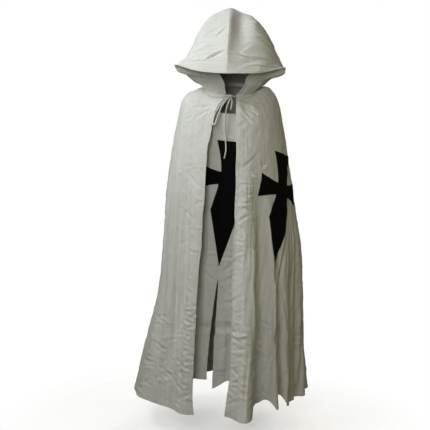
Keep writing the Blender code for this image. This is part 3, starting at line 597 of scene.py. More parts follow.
def shell_mesh(name, points, faces, thickness, uv):
    """A thin closed shell: an outer face, the same face moved inward, and a rounded rim."""
    count = len(points)
    normals = vertex_normals(points, faces)
    inner = points - normals * thickness[:, None]
    edges = np.stack([faces, np.roll(faces, -1, axis=1)], axis=-1).reshape(-1, 2)
    edges = edges[edges[:, 0] != edges[:, 1]]
    code = np.sort(edges, axis=1) @ (count, 1)
    _, first, times = np.unique(code, return_index=True, return_counts=True)
    border = edges[first[times == 1]]
    rim = np.unique(border)
    way = points[border[:, 1]] - points[border[:, 0]]
    away = np.cross(way, normals[border[:, 0]] + normals[border[:, 1]])
    spread = np.zeros_like(points)
    for end in (0, 1):
        np.add.at(spread, border[:, end], unit(away))
    bulge = unit(spread[rim]) * thickness[rim, None] * 0.5
    rim_points = (points[rim] + inner[rim]) / 2 + bulge
    place = np.zeros(count, int)
    place[rim] = 2 * count + np.arange(len(rim))
    i, j = border.T
    sides = [
        faces,
        faces[:, ::-1] + count,
        np.stack([j, i, place[i], place[j]], axis=1),
        np.stack([place[j], place[i], i + count, j + count], axis=1),
    ]
    uv = np.concatenate([uv, uv, uv[rim]])
    return new_mesh(name, np.concatenate([points, inner, rim_points]), sides, uv)


def outward(base, faces, way):
    """A grid's faces and normals, both pointing outward; way is -1 where they need turning."""
    faces = faces[:, ::way]
    return faces, vertex_normals(base.reshape(-1, 3), faces).reshape(base.shape)


def grid_shell(name, points, faces, folded, across, drop):
    """The shell of a grid of cloth, thicker where it is folded. u is across and v drop."""
    used, faces_used = np.unique(faces, return_inverse=True)
    thickness = SHELL + 2 * np.broadcast_to(folded, drop.shape)
    uv = np.stack([across, drop], axis=-1).reshape(-1, 2)
    faces_used = faces_used.reshape(faces.shape)
    return shell_mesh(name, points.reshape(-1, 3)[used], faces_used, thickness.ravel()[used], uv[used])


def even_columns(line_points, shares, marks, end_marks, cell, first=1.0):
    """For each row of a fine grid, the shares of columns at even distances along the cloth,
    with marks at both edges, and those distances."""
    along = lengths_along(line_points)
    count = round(along[:, -1].max() / cell)
    grid = np.stack([places(total, count, marks, end_marks, first) for total in along[:, -1]])
    found = [np.interp(row, steps, shares) for row, steps in zip(grid, along)]
    return np.stack(found), grid, along[:, -1:]


# ---------------------------------------------------------------- creases
Crease = namedtuple("Crease", "across drop angle length width depth bend")
Stroke = namedtuple("Stroke", "across drop to_across to_drop width depth bend")  # millimetres


def crease_push(creases, across, drop):
    """How far the creases move the cloth: a positive depth is a ridge, a negative a trough.
    Each has a softer lip of the other kind on its lower side."""
    push = np.zeros_like(across)
    for crease in creases:
        c, s = math.cos(math.radians(crease.angle)), math.sin(math.radians(crease.angle))
        du, dd = across - crease.across, drop - crease.drop
        along = (du * c + dd * s) / (0.5 * crease.length)
        near = np.abs(along) < 1
        along = along[near]
        side = (dd * c - du * s)[near] / crease.width - crease.bend / crease.width * along**2
        ridge = np.exp(-(side**2)) - 0.45 * np.exp(-(((side - 1.5) / 1.1) ** 2))
        push[near] += crease.depth * (1 - along**2) ** 1.5 * ridge
    return push


def stroke(row):
    """The crease that a row of millimetres draws from one place to another."""
    start = Stroke(*(value / 1000 for value in row))
    across, down = start.to_across - start.across, start.to_drop - start.drop
    return Crease(
        start.across + across / 2,
        start.drop + down / 2,
        math.degrees(math.atan2(down, across)),
        1.3 * math.hypot(across, down),
        start.width,
        start.depth,
        start.bend,
    )


def strokes_push(rows, across, drop):
    return crease_push(map(stroke, rows), across, drop)


def crinkles(across, drops, length, depth, rng):
    """Short level creases one below the other, at the given drops, each a little different."""
    for drop in drops:
        yield Crease(
            across + rng.normal(0, 0.012),
            drop + rng.normal(0, 0.004),
            rng.normal(0, 15),
            length * rng.uniform(0.5, 1.4),
            rng.uniform(0.0036, 0.0052),
            depth * rng.uniform(0.25, 1.25),
            rng.normal(0, 0.005),
        )


Group = namedtuple(
    "Group", "count across drop angle angle_spread length width depth bend", defaults=(0.012,)
)


def scatter(group, rng):
    """Creases of one kind, spread unevenly over an area; across, drop, length, width and depth
    are ranges."""
    for _ in range(group.count):
        yield Crease(
            rng.uniform(*group.across),
            rng.uniform(*group.drop),
            rng.normal(group.angle, group.angle_spread),
            rng.uniform(*group.length),
            rng.uniform(*group.width),
            rng.uniform(*group.depth) * rng.choice((-1, 1), p=(0.6, 0.4)),
            rng.normal(0, group.bend),
        )


def scattered_push(groups, across, drop, rng):
    creases = (crease for group in groups for crease in scatter(group, rng))
    return crease_push(creases, across, drop)


def soft_noise(across, drop, size, rng):
    """Smooth random waves of about 1 in height, with the given sizes across and down."""
    u, v = np.broadcast_arrays(across / size[0], drop / size[1])
    u, v = u - u.min() + 2, v - v.min() + 2
    lattice = rng.normal(0, 1, (int(v.max()) + 4, int(u.max()) + 4))
    total = np.zeros_like(u)
    iu, iv = u.astype(int), v.astype(int)
    fu, fv = u - iu, v - iv
    for a in range(-1, 3):
        for b in range(-1, 3):
            total += bump_weight(fv - a) * bump_weight(fu - b) * lattice[iv + a, iu + b]
    return total


def add_waves(push, waves, across, drop, rng):
    for height, size in waves:
        push += height * soft_noise(across, drop, size, rng)


def bump_weight(distance):
    """A cubic B-spline's weight, which makes waves without corners."""
    t = np.abs(distance)
    return np.where(t < 1, 2 / 3 - t**2 + t**3 / 2, np.where(t < 2, (2 - t) ** 3 / 6, 0.0))


def hem_profile(distance, hem):
    """The extra thickness of a hem on each face: full on the folded cloth, a little less in
    its stitched line, and none past it."""
    folded = 1 - smooth_step((distance - hem + 0.0006) / 0.0016)
    stitched = np.exp(-(((distance - hem + STITCH_INSET) / 0.0014) ** 2))
    return HEM_EXTRA * (folded - 0.45 * stitched)


def hem_pucker(distance, along, hem, rng, depth=0.0009):
    """Small slanting ripples that sewing leaves in a hem and just past it."""
    lean = along + 0.6 * distance
    wave = soft_noise(lean, distance, (0.0085, 4 * hem), rng)
    return depth * wave * smooth_step(2.2 - distance / hem)


# ---------------------------------------------------------------- cloak shells
def cloak_cloth(side, rng):
    fine = np.linspace(0, len(CLOAK_RINGS) - 1, FINE_ROWS)
    down = lengths_along(cloak_points(side, fine, np.full(FINE_ROWS, MEASURED_SHARE)))
    marks = places(down[-1], round(down[-1] / CLOAK_ROW), (0.0, 0.004), hem_marks(CLOAK_HEM))
    rows = np.interp(marks, down, fine)[:, None]
    shares = np.linspace(0, 1, FINE_COLUMNS)
    line = cloak_points(side, rows, shares[None, :])
    shares, edge, width = even_columns(
        line, shares, hem_marks(FRONT_HEM), EDGE_MARKS, CLOAK_COLUMN[side], FRONT_SHARE
    )
    base = cloak_points(side, rows, shares)
    base[:, -1, 0] = 0.0
    faces, normals = outward(base, grid_faces(grid_index(base)), side)
    normals[:, -1, 0] = 0
    normals = unit(normals)
    drop = -base[..., 2]
    hem = np.broadcast_to((down[-1] - marks)[:, None], edge.shape)
    from_back = width - edge
    push = cloak_relief(side, edge, drop, hem, marks[:, None], edge / width, rng)
    push *= smooth_step(from_back / 0.03) * smooth_step(marks[:, None] / 0.012)
    push -= SEAM_DIP * np.exp(-((from_back / SEAM_REACH) ** 2))
    folded = np.maximum(hem_profile(edge, FRONT_HEM), hem_profile(hem, CLOAK_HEM))
    points = base + normals * (push + folded)[..., None]
    sway = soft_noise(0 * drop, drop, (1.0, 0.045), rng) * np.exp(-edge / SWAY_REACH)
    points += EDGE_SWAY * sway[..., None] * unit(np.gradient(base, axis=1))
    rise = soft_noise(edge, 0 * drop, (0.040, 1.0), rng) * np.exp(-hem / SWAY_REACH)
    points[..., 2] += EDGE_SWAY * rise
    points[:, -1, 0] = 0.0
    mesh = grid_shell(SIDE_NAMES[side], points, faces, folded, edge, drop)
    return mesh, points, normals, faces


# Soft upright folds between the CAD's large ones: across is the distance from the front edge.
CLOAK_CREASES = {
    RIGHT: (
        Crease(0.036, 0.80, 91, 1.05, 0.020, 0.0050, 0.010),
        Crease(0.074, 0.86, 92, 0.95, 0.013, -0.0085, 0.012),
        Crease(0.098, 0.78, 91, 0.80, 0.011, 0.0055, -0.008),
        Crease(0.118, 0.92, 93, 0.70, 0.010, -0.0065, 0.010),
        Crease(0.150, 0.84, 91, 0.90, 0.016, 0.0065, 0.012),
        Crease(0.190, 0.90, 90, 0.75, 0.014, -0.0070, -0.010),
        Crease(0.235, 0.80, 90, 0.90, 0.014, 0.0060, 0.012),
    ),
    LEFT: (
        Crease(0.030, 0.70, 90, 1.00, 0.022, 0.0040, 0.006),
        Crease(0.066, 0.76, 90, 0.70, 0.012, -0.0040, 0.008),
        Crease(0.096, 0.80, 90, 0.85, 0.012, 0.0045, -0.006),
        Crease(0.180, 0.90, 90, 0.90, 0.008, -0.0060, 0.006),
        Crease(0.205, 0.92, 91, 0.80, 0.007, 0.0044, 0.006),
        Crease(0.232, 0.88, 90, 0.95, 0.007, -0.0056, 0.006),
        Crease(0.285, 0.90, 91, 1.00, 0.009, -0.0140, 0.006),
    ),
}
# Creases drawn from one place to another.
CLOAK_STROKES = {
    RIGHT: (
        (175, 1140, 125, 1175, 5, -4.8, 4),
        (130, 1168, 45, 1205, 5.5, -5.5, -4),
        (230, 1035, 165, 1065, 5, -4.5, 4),
        (225, 935, 165, 930, 4.5, -4.2, 3),
        (220, 955, 160, 962, 4.5, 3.6, 3),
        (270, 1118, 205, 1128, 4.8, -4.5, 3),
        (265, 1150, 215, 1148, 4.5, 3.6, -3),
        (70, 640, 10, 655, 5, -3, 3),
        (120, 480, 30, 520, 5.5, -2.8, 6),
        (90, 330, 15, 400, 5.5, -2.6, 6),
        (30, 20, 120, 14, 4, 5.6, 3),
        (25, 34, 135, 32, 4, -6, 3),
        (20, 48, 120, 56, 4.2, 5.2, 3),
        (20, 66, 80, 104, 4.6, -5, 3),
    ),
    LEFT: (
        (0, 650, 55, 638, 4.2, -3.2, 3),
        (15, 680, 50, 690, 4.2, -2.6, 3),
        (0, 712, 40, 700, 4.2, 2.4, 2),
        (0, 838, 50, 812, 4.5, -3.6, 4),
        (30, 850, 70, 872, 4.2, 2.4, 3),
        (0, 920, 48, 908, 4.4, -3.4, 3),
        (0, 985, 55, 1004, 4.6, -4, -4),
        (0, 1105, 50, 1135, 4.6, -4.2, 4),
        (25, 1146, 75, 1118, 4.4, 2.8, 3),
        (0, 1168, 58, 1150, 4.4, -3.6, 3),
        (0, 1196, 50, 1214, 4.6, -4, -3),
        (20, 1242, 70, 1226, 4.4, -3.4, 3),
        (15, 520, 60, 490, 5, -4.6, 4),
        (60, 478, 85, 492, 4.5, -3.4, 2),
        (30, 98, 75, 122, 5, -4.4, 3),
        (15, 26, 120, 30, 4, -5.8, 3),
        (10, 34, 100, 60, 4.2, 6, 3),
        (10, 46, 100, 86, 4.4, -6.4, 3),
        (6, 60, 75, 120, 4.6, 5.2, 3),
        (90, 250, 30, 300, 6, -3, 6),
        (20, 372, 110, 368, 4, -2.6, 2),
        (25, 408, 105, 414, 4, -2.8, 2),
        (20, 446, 100, 440, 4, -2.6, 2),
        (48, 350, 52, 470, 4, -2.4, 2),
        (80, 360, 78, 500, 4, -2.6, 2),
        (520, 1020, 640, 1030, 5, -4.2, 3),
        (540, 1062, 640, 1060, 4.5, 3.4, 3),
    ),
}
# Upright pleats of the flank and their groups: across is here a share of the hem's width,
# given as the distance at the hem, so that they spread with the cloak.
FLANK_STROKES = {
    RIGHT: (
        (420, 700, 460, 1220, 8, -5, 6),
        (520, 600, 540, 1200, 9, 5, 6),
    ),
    LEFT: (
        (335, 740, 379, 1220, 6.5, -4.8, 4),
        (352, 800, 430, 1220, 6.5, 4.2, 4),
        (370, 700, 514, 1240, 7, -5.2, 4),
        (390, 760, 560, 1220, 7, 4.4, 4),
        (411, 680, 613, 1200, 8, -5, 4),
    ),
}
UPRIGHT_GROUPS = (
    Group(26, (0.16, 1.45), (0.45, 1.20), 90, 2, (0.35, 0.90), (0.010, 0.017), (0.003, 0.007)),
    Group(44, (0.05, 0.70), (0.60, 1.25), 90, 2, (0.15, 0.50), (0.0045, 0.008), (0.0016, 0.0038)),
)
FOLDED_EDGE_DROPS = (
    0.900, 0.925, 0.940, 0.953, 0.975, 0.989, 1.010, 1.033, 1.050, 1.076, 1.093
)
# Where short level crinkles lie one below the other: their middle, drops, length and depth.
CRINKLES = {
    RIGHT: (
        (0.028, FOLDED_EDGE_DROPS, 0.055, -0.0042),
        (0.030, (1.110, 1.125, 1.150, 1.168, 1.186, 1.205, 1.222, 1.245), 0.062, -0.0046),
        (0.045, (0.560, 0.610, 0.700, 0.745, 0.805, 0.850), 0.060, -0.0026),
    ),
    LEFT: (
        (0.018, (0.560, 0.600, 0.745, 0.780, 0.885, 0.955, 1.030, 1.065), 0.040, -0.0034),
        (0.024, (1.090, 1.120, 1.142, 1.160, 1.182, 1.204, 1.222, 1.246), 0.045, -0.0038),
    ),
}
CLOAK_GROUPS = (
    Group(36, (0.00, 0.090), (0.86, 1.27), 2, 18, (0.030, 0.080), (0.0036, 0.0055), (0.0022, 0.0044)),
    Group(20, (0.00, 0.080), (0.28, 0.60), -6, 22, (0.030, 0.070), (0.004, 0.006), (0.0014, 0.0030)),
    Group(34, (0.12, 0.30), (0.93, 1.24), 0, 20, (0.035, 0.090), (0.004, 0.0062), (0.0020, 0.0042)),
    Group(36, (0.25, 1.60), (0.70, 1.25), 0, 20, (0.040, 0.110), (0.0050, 0.007), (0.0014, 0.0034)),
    Group(50, (0.06, 1.20), (0.10, 0.65), 25, 35, (0.040, 0.120), (0.005, 0.008), (0.0012, 0.0030)),
)


def cloak_relief(side, edge, drop, hem, from_neck, share, rng):
    """The cloak's folds, gathers and creases between the large ones of its solid."""
    push = crease_push(CLOAK_CREASES[side], edge, drop)
    push += strokes_push(CLOAK_STROKES[side], edge, drop)
    spread = share * edge.max()
    push += strokes_push(FLANK_STROKES[side], spread, drop)
    push += scattered_push(UPRIGHT_GROUPS, spread, drop, rng)
    for row in CRINKLES[side]:
        push += crease_push(crinkles(*row, rng), edge, drop)
    push += scattered_push(CLOAK_GROUPS, edge, drop, rng)
    neck_length = share * NECK_LENGTH
    kind = CLOAK_GATHERS
    at_throat = np.exp(-((neck_length / kind.throat_round) ** 2) - from_neck / CLOAK_THROAT_REACH)
    height = kind.height * np.exp(-from_neck / kind.reach) + kind.throat_height * at_throat
    push += soft_noise(neck_length, from_neck, (GATHER_WIDTH, kind.run), rng) * height
    add_waves(push, CLOAK_WAVES, edge, drop, rng)
    slow_height, slow_size = SLOW_WAVE
    slow = soft_noise(edge, drop, slow_size, rng)
    push += slow_height * slow * smooth_step((drop - 0.15) / 0.4)
    return push + hem_pucker(edge, drop, FRONT_HEM, rng) + hem_pucker(hem, edge, CLOAK_HEM, rng)


# ---------------------------------------------------------------- hood shells
# From the free edge back, and down from the centre seam.
HOOD_STROKES = {
    RIGHT: (
        (275, 28, 255, 105, 3.6, 6.2, 0),
        (290, 40, 268, 115, 3.4, 4.4, 0),
        (245, 40, 235, 120, 3.4, -4, 0),
        (210, 8, 163, 70, 3.6, 6.6, 0),
        (222, 30, 185, 110, 4, 5, 0),
        (152, 90, 148, 160, 3.6, 5.4, 0),
        (172, 95, 150, 150, 3.4, -4, 0),
        (108, 8, 66, 100, 5, 7.6, 12),
        (60, 90, 56, 190, 4.2, 5, 0),
        (85, 30, 50, 110, 4.2, -4.6, 0),
        (130, 60, 118, 130, 3.8, 4.4, 0),
        (40, 170, 44, 260, 5, -4.4, 6),
        (100, 180, 90, 270, 5, 4.4, 6),
        (200, 160, 190, 260, 5.5, -4.4, 6),
        (240, 120, 225, 190, 3.6, 4.8, 0),
        (190, 110, 180, 180, 3.4, -4.4, 0),
        (118, 90, 108, 170, 3.6, 4.8, 6),
    ),
    LEFT: (
        (130, 52, 345, 56, 34, -15, 0),
        (345, 112, 255, 175, 42, -12, 0),
        (262, 80, 245, 165, 3.6, 6, 0),
        (285, 85, 272, 135, 3.4, 4.6, 0),
        (250, 120, 262, 165, 3.4, -3.8, 0),
        (182, 105, 176, 210, 3.6, 6.2, 0),
        (200, 110, 190, 190, 3.4, 3.8, 0),
        (150, 130, 140, 210, 3.6, 4.2, 0),
        (115, 6, 82, 85, 6, -5.6, 12),
        (82, 85, 80, 230, 4.6, 6.6, 0),
        (95, 30, 68, 120, 4.6, 5.2, 0),
        (45, 100, 40, 200, 4.2, 3.4, 0),
        (120, 200, 112, 290, 5, -4.2, 6),
        (210, 200, 196, 300, 5.5, 4.2, 6),
    ),
}
HOOD_GROUPS = (
    Group(26, (0.02, 0.45), (0.03, 0.30), 70, 25, (0.050, 0.150), (0.005, 0.008), (0.0012, 0.0030)),
    Group(20, (0.00, 0.40), (0.20, 0.50), 40, 30, (0.050, 0.140), (0.005, 0.009), (0.0014, 0.0034)),
)
# How far the centre seam stands out, or is sunk, by its distance from the free edge.
SEAM_AT = (0.00, 0.08, 0.18, 0.26, 0.33, 0.44, 0.52)
SEAM_STANDS = (0.004, 0.009, 0.010, 0.006, -0.008, -0.010, 0.0)
SEAM_STANDS_REACH = 0.042


def hood_cloth(side, rng):
    """Rows run along the arches from the neck seam to the centre seam, and columns run back
    from the free edge."""
    fine = np.linspace(0, len(HOOD_ARCHES) - 1, 160)
    alongs = np.linspace(0, 6, 900)
    arches = np.stack([hood_points(side, row, alongs) for row in fine])
    crown = lengths_along(arches[:, 750])  # at the crown's knot, the fifth of six
    marks = places(crown[-1], round(crown[-1] / HOOD_CELL), hem_marks(HOOD_HEM), EDGE_MARKS)
    rows = np.interp(marks, crown, fine)
    arches = np.stack([hood_points(side, row, alongs) for row in rows])
    found, from_neck, length = even_columns(arches, alongs, (0.0, 0.004), EDGE_MARKS, HOOD_CELL)
    base = np.stack([hood_points(side, row, at) for row, at in zip(rows, found)])
    base[:, -1, 0] = hood_sway(base[:, -1], np.ones(len(rows)))
    base[-1, :, 0] = hood_sway(base[-1], found[-1])
    faces, normals = outward(base, grid_faces(grid_index(base)), side)
    for border in ((slice(None), -1), (-1, slice(None))):
        normals[border + (0,)] = 0
    normals = unit(normals)
    edge = np.broadcast_to(marks[:, None], from_neck.shape)
    from_seam = np.minimum(length - from_neck, crown[-1] - edge + 0.02)
    push = strokes_push(HOOD_STROKES[side], edge, from_seam)
    push += scattered_push(HOOD_GROUPS, edge, from_seam, rng)
    share = edge / crown[-1]
    kind = HOOD_GATHERS
    gathers = soft_noise(share * NECK_LENGTH, from_neck, (GATHER_WIDTH, kind.run), rng)
    height = kind.height + kind.throat_height * np.exp(-share / kind.throat_round)
    push += gathers * height * np.exp(-from_neck / kind.reach)
    add_waves(push, HOOD_WAVES, edge, from_seam, rng)
    push += hem_pucker(edge, from_neck, HOOD_HEM, rng, 0.0008)
    push *= smooth_step(from_seam / 0.025) * smooth_step(from_neck / 0.010)
    push -= SEAM_DIP * np.exp(-((from_seam / SEAM_REACH) ** 2))
    folded = hem_profile(edge, HOOD_HEM)
    points = base + normals * (push + folded)[..., None]
    along_seam = np.gradient(base[:, -1, 1:], axis=0)
    upward = unit(np.stack([0 * marks, -along_seam[:, 1], along_seam[:, 0]], axis=-1))
    stands = row_values(SEAM_STANDS, np.interp(marks, SEAM_AT, range(len(SEAM_AT))))[:, None]
    stands = stands * np.exp(-(length - from_neck) / SEAM_STANDS_REACH)
    points += upward[:, None, :] * stands[..., None]
    mesh = grid_shell("hood_" + SIDE_NAMES[side], points, faces, folded, edge, from_seam)
    return mesh, points, normals


# ---------------------------------------------------------------- surcoat shells
SURCOAT_CREASES = (
    Crease(-0.03, 0.650, 2, 0.20, 0.0050, -0.0048, 0.003),
    Crease(0.02, 0.676, 3, 0.28, 0.0060, -0.0040, 0.004),
    Crease(-0.06, 0.705, -4, 0.10, 0.0048, 0.0030, 0.003),
    Crease(0.00, 0.965, -2, 0.34, 0.014, -0.0075, 0.008),
    Crease(0.02, 0.935, 1, 0.24, 0.0055, 0.0036, 0.003),
    Crease(-0.03, 0.800, 12, 0.10, 0.0050, -0.0034, 0.003),
    Crease(0.01, 0.865, -8, 0.12, 0.0050, -0.0036, 0.003),
    Crease(0.00, 0.186, 1, 0.16, 0.0045, 0.0022, 0.002),
)
SURCOAT_STROKES = (
    (-20, 742, 45, 700, 6, -5.5, 4),
    (-12, 765, 50, 735, 5.5, 4, 4),
    (-40, 775, -85, 735, 6, -4.5, 4),
    (-5, 830, 50, 790, 5.5, -4, 3),
    (-105, 680, -100, 1020, 6, -4.8, 4),
    (-80, 720, -78, 1050, 5.5, 3.8, 4),
)
SURCOAT_GROUPS = (
    Group(24, (-0.30, 0.30), (0.70, 1.15), 88, 6, (0.15, 0.40), (0.008, 0.014), (0.002, 0.005)),
    Group(40, (-0.30, 0.30), (0.55, 1.14), 0, 18, (0.05, 0.12), (0.004, 0.006), (0.0014, 0.0034)),
    Group(20, (-0.28, 0.28), (0.10, 0.55), 0, 30, (0.04, 0.12), (0.005, 0.008), (0.0010, 0.0024)),
)
# How far the front sinks below its shoulders, clear of the cloak's gathers, and where.
SHOULDER_SUNK = 0.0060
SUNK_DROP = 0.022
SUNK_REACH = 0.034


def surcoat_cloth(front, rng):
    """Columns go from the wearer's right to left, the front panel's in two parts that share
    one column above the slit."""
    name = "surcoat_front" if front else "surcoat_back"
    cells = round(SURCOAT_HALF / CELL)
    half = places(SURCOAT_HALF, cells, hem_marks(SURCOAT_HEM), EDGE_MARKS) / SURCOAT_HALF
    shares = np.concatenate([half - 1, 1 - half[::-1]])
    lips = np.repeat([RIGHT, LEFT], len(half))
    if not front:
        shares, lips = np.delete(shares, len(half)), np.delete(lips, len(half))
    fine = np.linspace(0, 1, FINE_ROWS)
    cells = round(SURCOAT_LONG / CELL)
    marks = places(SURCOAT_LONG, cells, hem_marks(NECKLINE_HEM), hem_marks(SURCOAT_HEM))
    downs = np.interp(marks / SURCOAT_LONG, drawn_up(fine), fine)[:, None]
    base = surcoat_points(front, shares[None, :], downs, lips[None, :])
    index = grid_index(base)
    if front:
        k = len(half)
        closed = base[:, k, 2] > SLIT_TOP_Z
        index[closed, k] = index[closed, k - 1]
        faces = np.concatenate([grid_faces(index[:, :k]), grid_faces(index[:, k:])])
    else:
        faces = grid_faces(index)
    faces, normals = outward(base, faces, 1 if front else -1)
    if front:
        normals[closed, k] = normals[closed, k - 1]
    low = base[:, 0, 2] < ARMHOLE_BOTTOM_Z
    for column in (0, -1):
        base[low, column, 1] = 0.0
        normals[low, column, 1] = 0
    from_middle = np.abs(shares) * SHOULDER_END_X
    over = from_middle >= NECKLINE_HALF_WIDTH
    base[0, over, 1] = 0.0
    normals[0, over, 1] = 0
    normals = unit(normals)
    drop = -base[..., 2]
    across = base[..., 0] + 0 * drop
    from_side = np.minimum(1 + shares, 1 - shares)[None, :] * SURCOAT_HALF
    from_top = marks[:, None]
    hem = SURCOAT_LONG - from_top
    push = np.zeros_like(drop)
    if front:
        push += crease_push(SURCOAT_CREASES, across, drop)
        push += strokes_push(SURCOAT_STROKES, across, drop)
    push += scattered_push(SURCOAT_GROUPS, across, drop, rng)
    add_waves(push, SURCOAT_WAVES, across, drop, rng)
    push += hem_pucker(hem + 0 * across, across, SURCOAT_HEM, rng)
    if front:
        push[:, k] = push[:, k - 1]
    push *= smooth_step(from_side / 0.025) * smooth_step(from_top / 0.02)
    if front:
        free = smooth_step((NECKLINE_HALF_WIDTH - from_middle) / 0.008)
        sunk = SHOULDER_SUNK * np.exp(-(((drop - SUNK_DROP) / SUNK_REACH) ** 2))
        push -= sunk * np.maximum(smooth_step(from_top / 0.02), free)
    below = drop > -ARMHOLE_BOTTOM_Z
    push -= SEAM_DIP * np.exp(-((from_side / SEAM_REACH) ** 2)) * below
    neckline = hem_profile(from_top, NECKLINE_HEM) * ~over[None, :]
    folded = np.maximum(hem_profile(hem, SURCOAT_HEM), neckline)
    folded = np.maximum(folded, hem_profile(from_side, SURCOAT_HEM) * ~below)
    points = base + normals * (push + folded)[..., None]
    if front:
        points[closed, k] = points[closed, k - 1]
    return grid_shell(name, points, faces, folded, across, drop), points, normals, faces


# ---------------------------------------------------------------- neck casing
def casing_cloth(rng):
    """The gathered channel that the drawstring runs in: a flattened tube, open at the throat."""
    turns = np.linspace(throat_turn(RIGHT), throat_turn(LEFT) - 360, 330)
    angles = np.linspace(0, 2 * np.pi, 28, endpoint=False)
    middle = neck_points(turns)
    normal = ring_normal(turns, NECK.half_width, NECK.front_depth, NECK.back_depth)
    along = lengths_along(middle)
    pinch = smooth_step(np.minimum(along, along[-1] - along) / 0.020)[:, None]
    wave = soft_noise(along[:, None], 0 * angles[None, :], (0.0042, 1.0), rng)
    slow = soft_noise(along[:, None], np.sin(angles)[None, :], (0.011, 0.8), rng)
    out = np.cos(angles)[None, :]
    up = (np.sign(np.sin(angles)) * np.abs(np.sin(angles)) ** 0.8)[None, :]
    belly = CASING_BELLY * np.where(out > 0, out, 0.45 * out) * (0.75 + 0.25 * pinch)
    radial = belly + (0.0011 * wave + 0.0006 * slow) * (0.4 + 0.6 * np.abs(out))
    rise = CASING_HALF * up * (0.62 + 0.38 * pinch + 0.05 * wave)
    away = np.stack([*normal, 0 * turns], axis=-1)[:, None]
    points = middle[:, None] + away * (radial - 0.0004)[..., None]
    points[..., 2] += rise
    flat = points.reshape(-1, 3)
    uv = np.stack([np.broadcast_to(along[:, None], radial.shape), rise], axis=-1).reshape(-1, 2)
    return shell_mesh("neck_casing", flat, tube_faces(points), np.full(len(flat), SHELL), uv)


# ---------------------------------------------------------------- crosses
def arm_outline(length, waist, end):
    """One flaring arm's border: distance along the arm and half width, from waist to end."""
    for step in range(1, ARM_STEPS + 1):
        t = step / ARM_STEPS
        yield waist / 2 + (length - waist / 2) * t, waist / 2 + (end - waist) / 2 * t**ARM_CURVE


def cross_outline(foot_scale):
    """The cross as X and Z round its middle, clockwise from the right of the top arm."""
    top = list(arm_outline(CROSS.top_length, CROSS.waist, CROSS.top_end))
    side = list(arm_outline(CROSS.side_length, CROSS.waist * 0.8, CROSS.side_end))
    inner = (CROSS.waist / 2, CROSS.waist * 0.4)
    half = [(w, along) for along, w in reversed(top)] + [inner]
    half += [(along, w) for along, w in side]
    half += [(along, -w) for along, w in reversed(side)]
    half += [(inner[0] * 1.1, -inner[1]), (CROSS.blade / 2, -CROSS.shoulder_drop * foot_scale)]
    point = (0.0, -CROSS.foot_length * foot_scale)
    return np.array(half + [point] + [(-x, z) for x, z in reversed(half)])


def outline_distance(points, outline):
    """How far points lie from a closed outline, in the plane."""
    start, end = outline, np.roll(outline, -1, axis=0)
    way = end - start
    from_start = points[:, None] - start[None]
    share = np.clip(np.sum(from_start * way, axis=-1) / np.sum(way * way, axis=-1), 0, 1)
    return np.min(np.linalg.norm(from_start - share[..., None] * way, axis=-1), axis=1)


def flat_cross(outline):
    """The cross filled with small cells, as points in X and Z and triangles."""
    build = bmesh.new()
    border = [build.verts.new((x, 0, z)) for x, z in outline]
    inner = build.faces.new(border)
    for inset in (0.0012, 0.0028):
        bmesh.ops.inset_individual(build, faces=[inner], thickness=inset, use_even_offset=True)
    low, high = outline.min(axis=0), outline.max(axis=0)
    for axis, normal in ((0, (1, 0, 0)), (1, (0, 0, 1))):
        for at in np.arange(low[axis] + CROSS_CELL, high[axis] - CROSS_CELL / 3, CROSS_CELL):
            cut = [*build.verts, *build.edges, *build.faces]
            at_point = Vector(normal) * at
            bmesh.ops.bisect_plane(build, geom=cut, plane_co=at_point, plane_no=normal, dist=1e-6)
    bmesh.ops.triangulate(build, faces=build.faces)
    build.verts.ensure_lookup_table()
    points = np.array([(vert.co.x, vert.co.z) for vert in build.verts])
    faces = np.array([[vert.index for vert in face.verts] for face in build.faces])
    build.free()
    return points, faces


def laid_on(tree, at, flat):
    """Points of the cross's plane laid on the cloth along the direction that it faces, with
    the cloth's normals there."""
    lean = Matrix.Rotation(math.radians(at.lean), 3, "Y")
    turn = Matrix.Rotation(math.radians(at.facing), 3, "Z") @ lean
    ahead = turn @ Vector((0, -1, 0))
    found, normals = [], []
    for x, z in flat:
        start = Vector((at.x, at.y, at.z)) + turn @ Vector((x, 0, z)) + ahead * CUTTER_REACH
        place, normal, _, _ = tree.ray_cast(start, -ahead)
        found.append(place)
        normals.append(normal)
    return np.array(found), np.array(normals)


def cross_cloth(name, points, faces, at):
    tree = BVHTree.FromPolygons(points.reshape(-1, 3).tolist(), faces.tolist())
    outline = cross_outline(at.foot_scale)
    flat, cells = flat_cross(outline)
    place, normals = laid_on(tree, at, flat)
    distance = outline_distance(flat, outline)
    rounded = np.sqrt(1 - (1 - np.minimum(distance / 0.0040, 1)) ** 2)
    seam = np.exp(-(((distance - CROSS_SEAM) / 0.0014) ** 2))
    lift = SEAM_GAP + CROSS_LIFT * (0.35 + 0.65 * rounded - 0.25 * seam)
    outer = place + normals * lift[:, None]
    if np.sum(face_normals(outer, cells) * normals[cells[:, 0]]) < 0:
        cells = cells[:, ::-1]
    mesh = shell_mesh(name, outer, cells, lift - SEAM_GAP / 2, flat)
    border = resample(np.concatenate([outline, outline[:1]]), 0.002)
    inward = outline_inset(border, CROSS_SEAM)
    line, line_normals = laid_on(tree, at, inward)
    return mesh, (line + line_normals * (SEAM_GAP + CROSS_LIFT * 0.8), line_normals)


def outline_inset(border, inset):
    """A closed border moved inward; it runs clockwise."""
    way = unit(np.roll(border, -1, axis=0) - np.roll(border, 1, axis=0))
    return border + np.stack([way[:, 1], -way[:, 0]], axis=1) * inset


